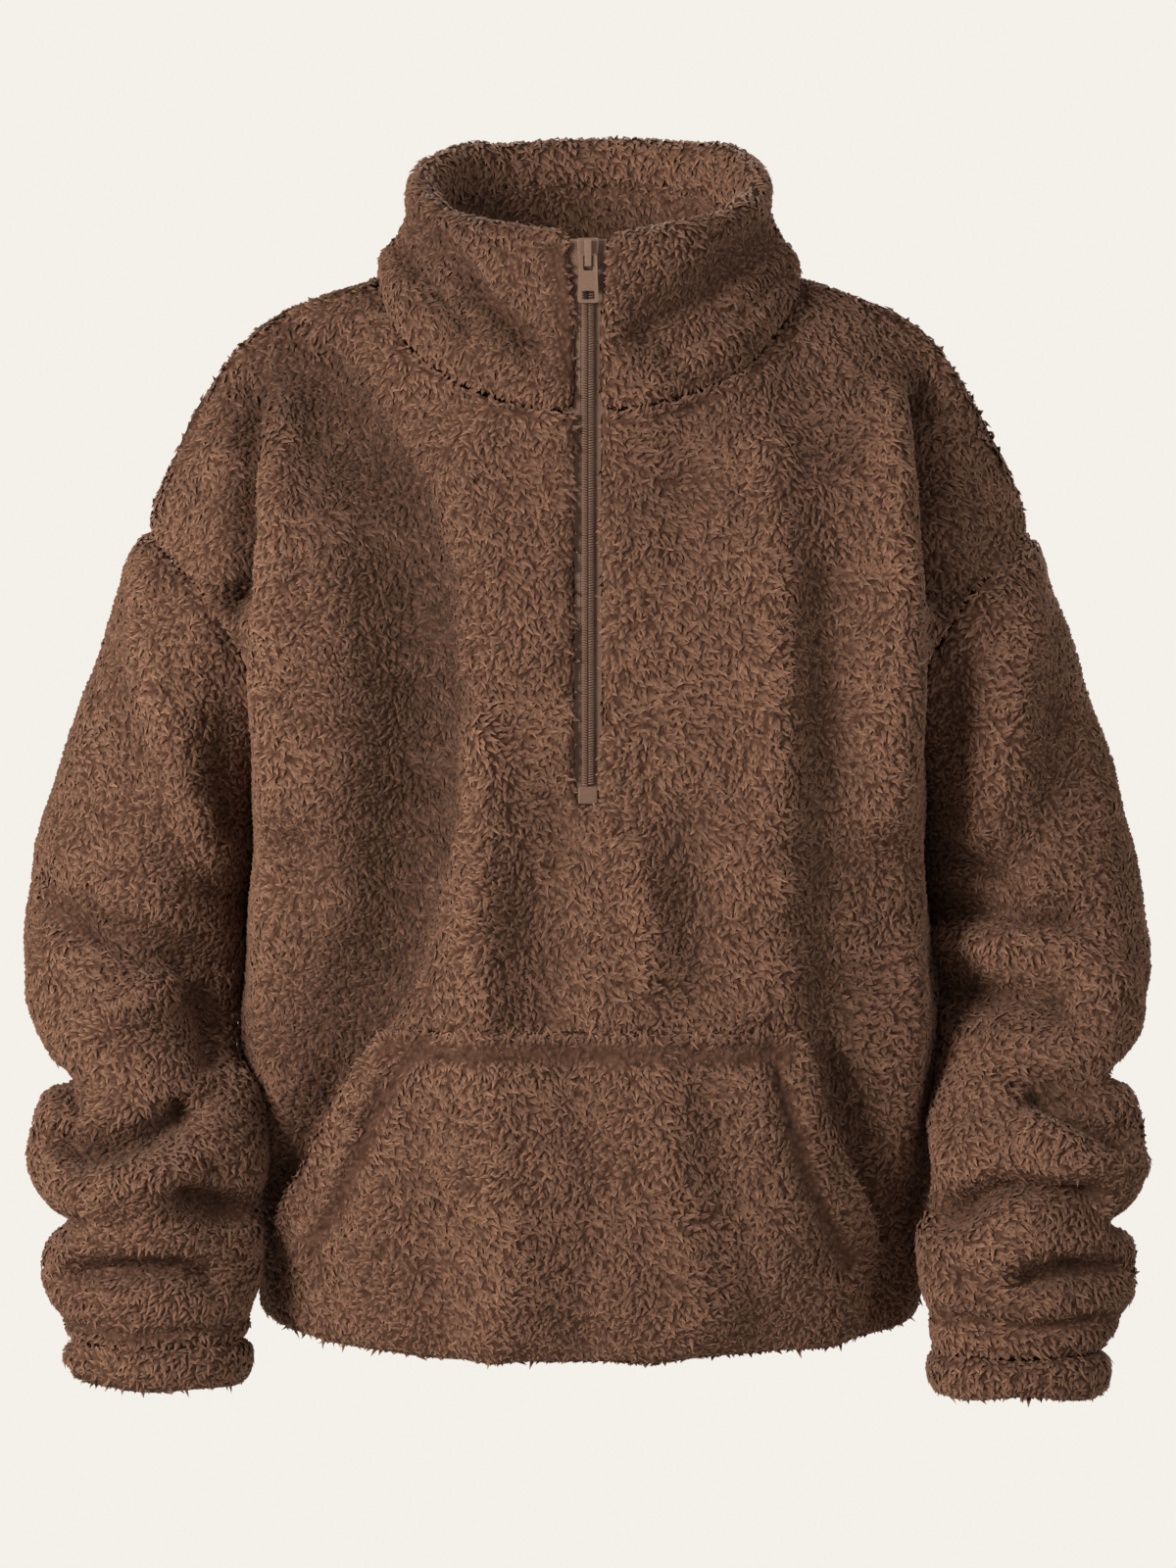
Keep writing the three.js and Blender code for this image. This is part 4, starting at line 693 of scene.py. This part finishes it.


# Returns how far each point stands out of the smooth cloth plus its painted shade, which the pile's
# colour turns into painted shade in troughs and painted highlight on ridges
def addCreases(shell, node, plan):
    points, normals, corners, kinds = readMesh(shell.data)
    side = np.zeros(len(points))
    side[corners[kinds == outsideFace].ravel()] = 1
    side[corners[kinds == insideFace].ravel()] = -1
    amount = foldLook["height"] * softWaves(points, foldLook["wavelength"], foldLook["seed"])
    shade = np.zeros(len(points))
    pinch = np.zeros_like(points)
    if plan.get("lip"):
        # The lip turned in under the rim moves the same way as the wall it hangs from
        fromMiddle = points - np.array(plan["hollow"]) * mm
        side[(side < 0) & ((normals * fromMiddle)[:, :2].sum(1) > 0)] = 1
    lining = plan.get("visible") == "inside"
    behind = (side < 0) | lining
    deeper = np.where(behind, foldLook["deeperLining" if lining else "deeperBehind"], 1.0)
    if lining:
        deeper[side < 0] = foldLook["deeperBehind"]
    facing = np.clip(foldLook["facing"] * np.abs(normals[:, 1]), 0, 1)
    if node in ("front", "back"):
        rimDistance, _ = nearest(points, points[np.unique(corners[kinds == rimFace])])
        facing *= np.clip(rimDistance / mm / foldLook["seamFade"], 0, 1)
    for fold in creases.get("collar" if node == "collar_facing" else node, []):
        distance, toLine, hand = lineDistance(points, fold["line"])
        wide = np.where(hand > 0, *fold["wide"]).astype(float)
        # The skins behind have fewer points, so they sink more and over more, and rise over less
        sinks = fold["out"] < 0
        wide[behind] += foldLook["hiddenTrough"] if sinks else -foldLook["hiddenRidge"]
        near = np.exp(-((distance / wide) ** 2))
        if not fold["allRound"]:
            near *= facing
        amount += fold["out"] * near * (deeper if sinks else 1)
        # Painted shade along the crease
        shade += fold["shade"] * near
        pinch += toLine * (fold["pinch"] * near / wide)[:, None]
    side[np.unique(corners[kinds == rimFace].ravel())] = 0
    # A lining bulges where its wall sinks, so its painted shade is the reverse: lighter there
    if lining:
        side, shade = -side, -amount
    points += (normals * (amount * side)[:, None] + pinch * np.abs(side)[:, None]) * mm
    if plan.get("squared"):
        points[:, 2] += rimLift(points)
    shell.data.vertices.foreach_set("co", points.astype(np.float32).ravel())
    shell.data.update()
    return amount + shade + plan.get("shade", 0)


# Pile: lengths in millimetres, and the parts of a lock as shares of it
pile = {
    "spacing": 1.96,  # least distance between roots
    "tries": 2.3,  # roots drawn for each that could stand at that distance
    "length": (4.8, 8.2),
    "leastLength": 0.3,  # share of its length that a flattened lock keeps
    "height": (2.0, 3.2),
    "width": (2.3, 3.5),
    "rows": [(0.0, 0.34), (0.42, 0.5)],  # where along a lock, and how wide there
    "roof": 0.42,  # how far the edges hang below the crest
    "arch": (1.6, 0.36),  # how high and how far along the middle of a lock is pulled
    "reach": 0.95,  # how far along its tip ends, and next how high
    "droop": (-0.1, 0.5),
    "lean": 0.05,
    "sideCurl": 3.0,
    "toneAndShade": 0.5,
    "tintWaves": (46, 8, 0.03),  # wavelength, seed and strength
    "tintRandom": 0.1,
    "tintRange": (0.02, 1),
    "foldPaintedShade": 0.015,  # painted highlight for a millimetre of ridge, and painted shade for one of trough
    "foldShadeRange": (-23, 6),
    "sunk": 1.2,
    "mostFaces": 190000,
    "seed": 23,
}

# How the pile is combed: down, outwards at the sides, and turned by swirls
comb = {
    "outwards": 0.9,
    "sides": 200,
    "swirls": [(78, 5, 1.1), (26, 6, 0.6)],  # wavelength, seed and turn in radians
    "random": 0.5,
    "undersideFrom": 0.1,
    "undersideOver": 0.5,
    "undersideLow": 0.6,  # how much lower locks lie on an underside
    "overHem": 9.0,  # how near a free edge they grow short
    "hemHeight": 0.4,
    "overSeam": 4.5,  # how near a seam they turn to cover it
    "seamPull": 2.0,
    "partingReach": 11.0,  # how near a sewn line they turn away from it
    "partingPush": 2.2,
    "partingCore": 2.5,  # how near it they lie flat
    "partingLow": 0.75,
}

# Sewn lines that part the pile, each a line in X and Z
stitchLines = {
    "pocket": [fold["line"] for fold in creases["pocket"][:3]],
    "collar": [[(-18, 11), (-14, -10), (-10, -53)]],
}

# Where the lock's map lies for the bake: its own tone with painted fold shade across, and the way from root
# to tip upwards
bakeMap = {"left": 0.01, "across": 0.975, "lock": 0.008, "low": 0.02, "up": 0.96}


# One lock to copy: a leaf with a crest along its middle, X across it and Z from root to tip
def makeLockShape():
    lock = bmesh.new()
    rows = []
    for along, wide in pile["rows"]:
        rows.append([lock.verts.new((step * wide, -pile["roof"] * abs(step), along)) for step in (-1, 0, 1)])
    tip = lock.verts.new((0, 0, 1))
    for lower, upper in zip(rows, rows[1:]):
        for i in (0, 1):
            lock.faces.new((lower[i], lower[i + 1], upper[i + 1], upper[i]))
    for i in (0, 1):
        lock.faces.new((rows[-1][i], rows[-1][i + 1], tip))
    lock.verts.index_update()
    corners = [vert.co.copy() for vert in lock.verts]
    faces = [[vert.index for vert in face.verts] for face in lock.faces]
    lock.free()
    return corners, faces


lockCorners, lockFaces = makeLockShape()


def unit(vectors):
    return vectors / np.maximum(np.linalg.norm(vectors, axis=1), 1e-12)[:, None]


# Random places on the pile side, none nearer to another than the spacing
def scatterRoots(points, normals, corners, foldShade, draw, spacing):
    a, b, c = (points[corners[:, i]] for i in range(3))
    size = np.linalg.norm(np.cross(b - a, c - a), axis=1) / 2
    count = int(size.sum() / (spacing * mm) ** 2 * pile["tries"])
    pick = draw.choice(len(size), count, p=size / size.sum())
    u, v = draw.random((2, count, 1))
    over = (u + v) > 1
    u, v = np.where(over, 1 - u, u), np.where(over, 1 - v, v)
    w = 1 - u - v
    roots = a[pick] * w + b[pick] * u + c[pick] * v
    out = [normals[corners[pick, i]] for i in range(3)]
    up = unit(out[0] * w + out[1] * u + out[2] * v)
    fold = sum(foldShade[corners[pick, i]] * part[:, 0] for i, part in enumerate((w, u, v)))
    tree = pointTree(roots)
    gone = bytearray(count)
    for i, root in enumerate(roots):
        if not gone[i]:
            for _, j, _ in tree.find_range(root, spacing * mm):
                if j > i:
                    gone[j] = 1
    keep = np.frombuffer(gone, np.uint8) == 0
    return roots[keep], up[keep], fold[keep]


# The way each lock is combed, and how high it may stand
def combing(roots, up, node, seamPoints, freePoints, draw):
    base = np.tile([0.0, 0.0, -1.0], (len(roots), 1))
    base[:, 0] += comb["outwards"] * np.clip(roots[:, 0] / (comb["sides"] * mm), -1, 1)
    across = unit(base - up * (base * up).sum(1)[:, None])
    swirls = sum(strength * softWaves(roots, wavelength, seed)
                 for wavelength, seed, strength in comb["swirls"])
    turn = swirls + draw.normal(0, comb["random"], len(roots))
    side = np.cross(up, across)
    flow = across * np.cos(turn)[:, None] + side * np.sin(turn)[:, None]
    # Locks under a hem or a rim are short and lie close, and those beside a seam cover it
    under = np.clip((-up[:, 2] - comb["undersideFrom"]) / comb["undersideOver"], 0, 1)
    low = 1 - comb["undersideLow"] * under
    hemDistance, _ = nearest(roots, freePoints)
    inside = np.clip(hemDistance / mm / comb["overHem"], 0, 1)
    low *= comb["hemHeight"] + (1 - comb["hemHeight"]) * inside
    seamDistance, seamWay = nearest(roots, seamPoints)
    close = np.exp(-((seamDistance / mm / comb["overSeam"]) ** 2))
    flow = unit(flow + comb["seamPull"] * close[:, None] * unit(seamWay))
    for line in stitchLines.get(node, []):
        distance, toLine, _ = lineDistance(roots, line)
        near = np.exp(-((distance / comb["partingReach"]) ** 2))
        flow = unit(flow - comb["partingPush"] * near[:, None] * unit(toLine))
        low *= 1 - comb["partingLow"] * np.exp(-((distance / comb["partingCore"]) ** 2))
    flow = unit(flow - up * (flow * up).sum(1)[:, None])
    return flow, low


# Bends one copy of the lock from each root: a curve of three points, from under the cloth to the tip
def buildLocks(name, roots, up, flow, low, fold, draw):
    count = len(roots)
    least = pile["leastLength"]
    length = draw.uniform(*pile["length"], count) * mm * (least + (1 - least) * low)
    height = draw.uniform(*pile["height"], count) * mm * low
    width = draw.uniform(*pile["width"], count) * mm
    curl = draw.normal(0, pile["sideCurl"], count) * mm
    droop = draw.uniform(*pile["droop"], count)
    side = np.cross(up, flow)
    start = roots - up * pile["sunk"] * mm
    archUp, archAlong = pile["arch"]
    middle = roots + up * (height * archUp)[:, None] + flow * (length * archAlong)[:, None]
    end = (roots + up * (height * droop)[:, None] + flow * (length * pile["reach"])[:, None]
           + side * curl[:, None])
    places = np.empty((count, len(lockCorners), 3))
    along = np.empty(len(lockCorners))
    for k, corner in enumerate(lockCorners):
        t = corner.z
        along[k] = t
        line = start * (1 - t) ** 2 + middle * 2 * t * (1 - t) + end * t ** 2
        tangent = unit((middle - start) * (1 - t) + (end - middle) * t)
        across = unit(np.cross(tangent, up + flow * pile["lean"]))
        places[:, k] = line + (across * corner.x + up * corner.y) * width[:, None]
    # A lock's own tone varies in soft patches and at random; painted shade darkens it in troughs and painted
    # highlight lightens it on ridges
    wavelength, seed, strength = pile["tintWaves"]
    patches = strength * softWaves(roots, wavelength, seed)
    toneAndShade = pile["toneAndShade"] + patches + draw.normal(0, pile["tintRandom"], count)
    toneAndShade = np.clip(toneAndShade + pile["foldPaintedShade"] * np.clip(fold, *pile["foldShadeRange"]), *pile["tintRange"])
    sizes = np.array([len(face) for face in lockFaces])
    ring = np.concatenate(lockFaces)
    loops = (ring[None, :] + np.arange(count)[:, None] * len(lockCorners)).ravel()
    starts = np.concatenate([[0], np.cumsum(np.tile(sizes, count))[:-1]])
    mesh = bpy.data.meshes.new(name)
    mesh.vertices.add(count * len(lockCorners))
    mesh.vertices.foreach_set("co", places.astype(np.float32).ravel())
    mesh.loops.add(len(loops))
    mesh.loops.foreach_set("vertex_index", loops.astype(np.int32))
    mesh.polygons.add(len(starts))
    mesh.polygons.foreach_set("loop_start", starts.astype(np.int32))
    mesh.update(calc_edges=True)
    mesh.shade_smooth()
    toneAndShadeEach, tipsEach = np.repeat(toneAndShade, len(lockCorners)), np.tile(along, count)
    for label, values in (("tip", tipsEach), ("toneAndShade", toneAndShadeEach)):
        attribute = mesh.attributes.new(label, "FLOAT", "POINT")
        attribute.data.foreach_set("value", values.astype(np.float32))
    spread = np.array([bakeMap["lock"] * corner.x for corner in lockCorners]) + bakeMap["lock"] / 2
    mapAcross = bakeMap["left"] + bakeMap["across"] * toneAndShadeEach + np.tile(spread, count)
    mapUp = bakeMap["low"] + bakeMap["up"] * tipsEach
    layer = mesh.uv_layers.new(name="OFBake")
    uv = np.stack([mapAcross[loops], mapUp[loops]], axis=1)
    layer.data.foreach_set("uv", uv.astype(np.float32).ravel())
    return meshObject(name, mesh, [pileMaterial])


# The front grows no pile that the pocket would hide from view
pocketCover = {"top": -415, "reach": 35, "beside": 16, "clear": 1}


def hiddenByPocket(roots, up):
    tree = nodeTree("pocket")
    hidden = np.zeros(len(roots), bool)
    top, reach, beside, clear = (pocketCover[key] * mm for key in ("top", "reach", "beside", "clear"))
    for i, (root, normal) in enumerate(zip(roots, up)):
        if root[2] > top:
            continue
        start = Vector(root) + Vector(normal) * clear
        hidden[i] = all(
            tree.ray_cast(start + Vector((step, 0, 0)), Vector((0, -1, 0)), reach)[0] is not None
            for step in (-beside, 0, beside))
    return hidden


def growPile(shell, node, foldShade, seed):
    draw = np.random.default_rng(pile["seed"] + seed)
    points, normals, corners, kinds = readMesh(shell.data)
    furry = corners[kinds == outsideFace]
    roots, up, fold = scatterRoots(points, normals, furry, foldShade, draw, pile["spacing"])
    if node == "front":
        shown = ~hiddenByPocket(roots, up)
        roots, up, fold = roots[shown], up[shown], fold[shown]
    seamPoints = points[np.intersect1d(furry, corners[kinds == rimFace])]
    freePoints = points[np.intersect1d(furry, corners[kinds == insideFace])]
    flow, low = combing(roots, up, node, seamPoints, freePoints, draw)
    facesEach = sum(len(face) - 2 for face in lockFaces)
    parts = max(1, math.ceil(len(roots) * facesEach / pile["mostFaces"]))
    order = np.argsort(roots[:, 0], kind="stable")
    made = []
    for number, chosen in enumerate(np.array_split(order, parts)):
        name = node + "_pile" + (f"_{number + 1}" if parts > 1 else "")
        made.append(buildLocks(
            name, roots[chosen], up[chosen], flow[chosen], low[chosen], fold[chosen], draw))
    return made, len(roots) * facesEach


def finishPiece(piece, body):
    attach(piece, body)


total = 0
for number, (node, plan) in enumerate(cloth.items()):
    shell = makeShell(node, plan)
    foldShade = addCreases(shell, node, plan)
    locks, faces = growPile(shell, node, foldShade, number)
    slotName = "fleece_inside" if node == "collar_facing" else "fleece"
    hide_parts(node)
    for piece in [shell, *locks]:
        finishPiece(piece, "garment")
    shell.data.calc_loop_triangles()
    total += faces + len(shell.data.loop_triangles)
    print(node, "cloth made,", len(shell.data.loop_triangles), "and", faces, "triangles of pile")
print("cloth and pile:", total, "triangles")


# Zip: lengths in millimetres
zipLook = {
    "pitch": 1.42,
    "leastSlope": 0.5,
    "ends": 0.6,
    "search": 0.2,
    "toothThick": 1.0,
    "toothReach": 3.15,
    "toothDeep": 2.0,
    "toothApart": 0.12,
    "toothRound": 0.28,
    "tilt": 0.16,
    "tapeLongEdge": 6.0,
}
stitchLook = {"radius": 0.28, "length": 2.1, "sunk": 2.5, "fromMiddle": 4.3, "every": 2, "sides": 5}
easedLook = {"flat": 1.5, "sharp": 32, "segments": 2}


# The line that the coils follow up the zip, with the way out of the cloth at each step
def zipLine():
    tree = nodeTree("zip_coil_left")
    low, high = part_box("zip_coil_left")
    ends = zipLook["ends"] * mm
    x, z, stations = (low.x + high.x) / 2, low.z + ends, []
    while z < high.z - ends:
        hit, normal, _, _ = tree.ray_cast(Vector((x, -1, z)), Vector((0, 1, 0)))
        if hit is not None:
            stations.append((Vector((0, hit.y, hit.z)), Vector((0, normal.y, normal.z)).normalized()))
            z += zipLook["pitch"] * mm * max(zipLook["leastSlope"], abs(normal.y))
        else:
            z += zipLook["search"] * mm
    return stations


# The way down the zip where the cloth faces out
def downZip(out):
    return Vector((0, out.z, -out.y))


# One row of teeth: short rounded bars that lie across the tape and meet in the middle
def makeTeeth(name, side, stations):
    made = bmesh.new()
    reach, thick, deep = (zipLook[key] * mm for key in ("toothReach", "toothThick", "toothDeep"))
    shift = 0.0 if side < 0 else zipLook["pitch"] * mm / 2
    for place, out in stations[:-1]:
        along = downZip(out)
        bar = bmesh.ops.create_cube(made, size=1)["verts"]
        bmesh.ops.scale(made, verts=bar, vec=(reach, thick, deep))
        rounding = list({edge for vert in bar for edge in vert.link_edges})
        bevelled = bmesh.ops.bevel(
            made, geom=rounding, offset=thick * zipLook["toothRound"], segments=1, profile=0.5,
            affect="EDGES", material=-1)
        middle = side * (reach / 2 + zipLook["toothApart"] * mm)
        for vert in {vert for face in bevelled["faces"] for vert in face.verts}:
            x, y, z = vert.co
            y += x * side * zipLook["tilt"]
            vert.co = place - out * (deep / 2) + Vector((middle + x, 0, 0)) + along * (y + shift) + out * z
    made.normal_update()
    return finishBmesh(made, name, [nylonMaterial])


# A tape, cut off under the stop
def makeTape(node):
    woven = newBmesh(node)
    long = [edge for edge in woven.edges if edge.calc_length() > zipLook["tapeLongEdge"] * mm]
    bmesh.ops.subdivide_edges(woven, edges=long, cuts=1, use_grid_fill=True)
    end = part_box("zip_stop")[0].z
    cut = bmesh.ops.bisect_plane(
        woven, geom=[*woven.verts, *woven.edges, *woven.faces], plane_co=(0, 0, end),
        plane_no=(0, 0, -1), clear_outer=True)
    rim = [item for item in cut["geom_cut"] if isinstance(item, bmesh.types.BMEdge)]
    bmesh.ops.holes_fill(woven, edges=rim)
    return finishBmesh(woven, node + "_woven", [tapeMaterial], smooth=False)


# A hard part with its edges eased
def makeEased(node, name, ease, material):
    part = newBmesh(node)
    bmesh.ops.dissolve_limit(
        part, angle_limit=math.radians(easedLook["flat"]), verts=part.verts, edges=part.edges)
    sharp = [edge for edge in part.edges
             if len(edge.link_faces) == 2 and edge.calc_face_angle() > math.radians(easedLook["sharp"])]
    bmesh.ops.bevel(part, geom=sharp, offset=ease * mm, segments=easedLook["segments"], profile=0.5,
                    affect="EDGES", material=-1, clamp_overlap=True)
    piece = finishBmesh(part, name, [material])
    shading = piece.modifiers.new("shading", "WEIGHTED_NORMAL")
    shading.keep_sharp = True
    return piece


def makeTapeStitches(stations):
    made = bmesh.new()
    radius, length, sunk, fromMiddle = (
        stitchLook[key] * mm for key in ("radius", "length", "sunk", "fromMiddle"))
    for side in (-1, 1):
        for place, out in stations[2:-2:stitchLook["every"]]:
            along = downZip(out)
            stitch = bmesh.ops.create_cone(
                made, cap_ends=True, segments=stitchLook["sides"], radius1=radius, radius2=radius,
                depth=length)["verts"]
            for vert in stitch:
                x, y, z = vert.co
                vert.co = place - out * sunk + Vector((side * fromMiddle + x, 0, 0)) + out * y + along * z
    bmesh.ops.recalc_face_normals(made, faces=made.faces)
    return finishBmesh(made, "tape_stitches", [tapeMaterial])


stations = zipLine()
for sideName, side in (("right", -1), ("left", 1)):
    teeth = makeTeeth("zip_teeth_" + sideName, side, stations)
    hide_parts("zip_coil_" + sideName)
    finishPiece(teeth, "garment")
    tape = makeTape("zip_tape_" + sideName)
    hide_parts("zip_tape_" + sideName)
    finishPiece(tape, "garment")
stitches = makeTapeStitches(stations)
finishPiece(stitches, "garment")
for node, name, ease, material, body, slotName in (
        ("zip_slider", "slider_body", 0.22, lacquerMaterial, "garment", "zip_metal"),
        ("zip_pull_tab", "pull_tab_plate", 0.25, lacquerMaterial, "pull_tab", "zip_metal"),
        ("zip_stop", "bottom_stop", 0.9, nylonMaterial, "garment", "zip_coil")):
    piece = makeEased(node, name, ease, material)
    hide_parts(node)
    finishPiece(piece, body)
print("zip made,", len(stations), "teeth a side")


# Studio
studio = {
    "floorHeight": -1.42,  # the wearer would stand on it
    "floorRadius": 4.0,
    "floorSides": 96,
    "fadeFrom": 1.2,
    "fadeTo": 3.4,
    "background": colour(0.9, 0.875, 0.82),
    "ambient": 0.31,
}
lights = {
    "key": {"place": (-1.9, -1.9, 0.45), "aim": (0, 0, -0.3), "size": 1.1, "power": 90.0,
            "tone": (1.0, 0.97, 0.93)},
    "fill": {"place": (2.1, -1.3, 0.7), "aim": (0, 0, -0.3), "size": 1.6, "power": 17.0,
             "tone": (0.98, 0.98, 1.0)},
    "back": {"place": (0.6, 2.0, 1.2), "aim": (0, 0, -0.2), "size": 1.4, "power": 45.0,
             "tone": (1.0, 0.98, 0.96)},
}
view = {"target": (0, 0, -0.289), "distance": 4.0, "elevation": 4.0, "lens": 160.7, "sensor": 36.0, "far": 60}


def makeFloor():
    disc = bmesh.new()
    bmesh.ops.create_circle(disc, cap_ends=True, segments=studio["floorSides"], radius=studio["floorRadius"])
    bmesh.ops.translate(disc, verts=disc.verts, vec=(0, 0, studio["floorHeight"]))
    material, tree, surface = newMaterial("paleFloor", {
        "Base Color": colour(0.7, 0.695, 0.67), "Roughness": 0.9, "Specular IOR Level": 0.0})
    flat = addNode(tree, "ShaderNodeVectorMath", {1: (1, 1, 0)}, operation="MULTIPLY")
    linkPlace(tree, flat, 0)
    far = addNode(tree, "ShaderNodeVectorMath", operation="LENGTH")
    link(tree, flat, 0, far, 0)
    fade = addRange(tree, far, "Value", 1.0, 0.0, first=studio["fadeFrom"], last=studio["fadeTo"])
    fade.interpolation_type = "SMOOTHSTEP"
    link(tree, fade, 0, surface, "Alpha")
    finishBmesh(disc, "floor", [material], smooth=False)


def makeWorld():
    world = bpy.data.worlds.new("studio")
    scene.world = world
    world.use_nodes = True
    tree = world.node_tree
    shown = tree.nodes["Background"]
    setInputs(shown, {"Color": studio["background"], "Strength": 1.0})
    around = addNode(tree, "ShaderNodeBackground", {
        "Color": studio["background"], "Strength": studio["ambient"]})
    path = addNode(tree, "ShaderNodeLightPath")
    choose = addNode(tree, "ShaderNodeMixShader")
    link(tree, path, "Is Camera Ray", choose, 0)
    link(tree, around, 0, choose, 1)
    link(tree, shown, 0, choose, 2)
    link(tree, choose, 0, tree.nodes["World Output"], "Surface")


def addLight(name, look):
    light = bpy.data.lights.new(name, "AREA")
    light.shape = "DISK"
    light.size = look["size"]
    light.energy = look["power"]
    light.color = look["tone"]
    lamp = bpy.data.objects.new(name, light)
    scene.collection.objects.link(lamp)
    lamp.location = look["place"]
    lamp.rotation_mode = "QUATERNION"
    lamp.rotation_quaternion = (Vector(look["aim"]) - lamp.location).to_track_quat("-Z", "Y")


def addCamera():
    data = bpy.data.cameras.new("camera")
    data.sensor_fit = "VERTICAL"
    data.sensor_width = data.sensor_height = view["sensor"]
    data.lens = view["lens"]
    data.clip_end = view["far"]
    camera = bpy.data.objects.new("camera", data)
    scene.collection.objects.link(camera)
    rise = math.radians(view["elevation"])
    back = Vector((0, -math.cos(rise), math.sin(rise)))
    camera.location = Vector(view["target"]) + back * view["distance"]
    camera.rotation_mode = "QUATERNION"
    camera.rotation_quaternion = (-back).to_track_quat("-Z", "Y")
    scene.camera = camera


makeFloor()
makeWorld()
for name, look in lights.items():
    addLight(name, look)
addCamera()
scene.view_settings.view_transform = "Standard"
print("studio made")
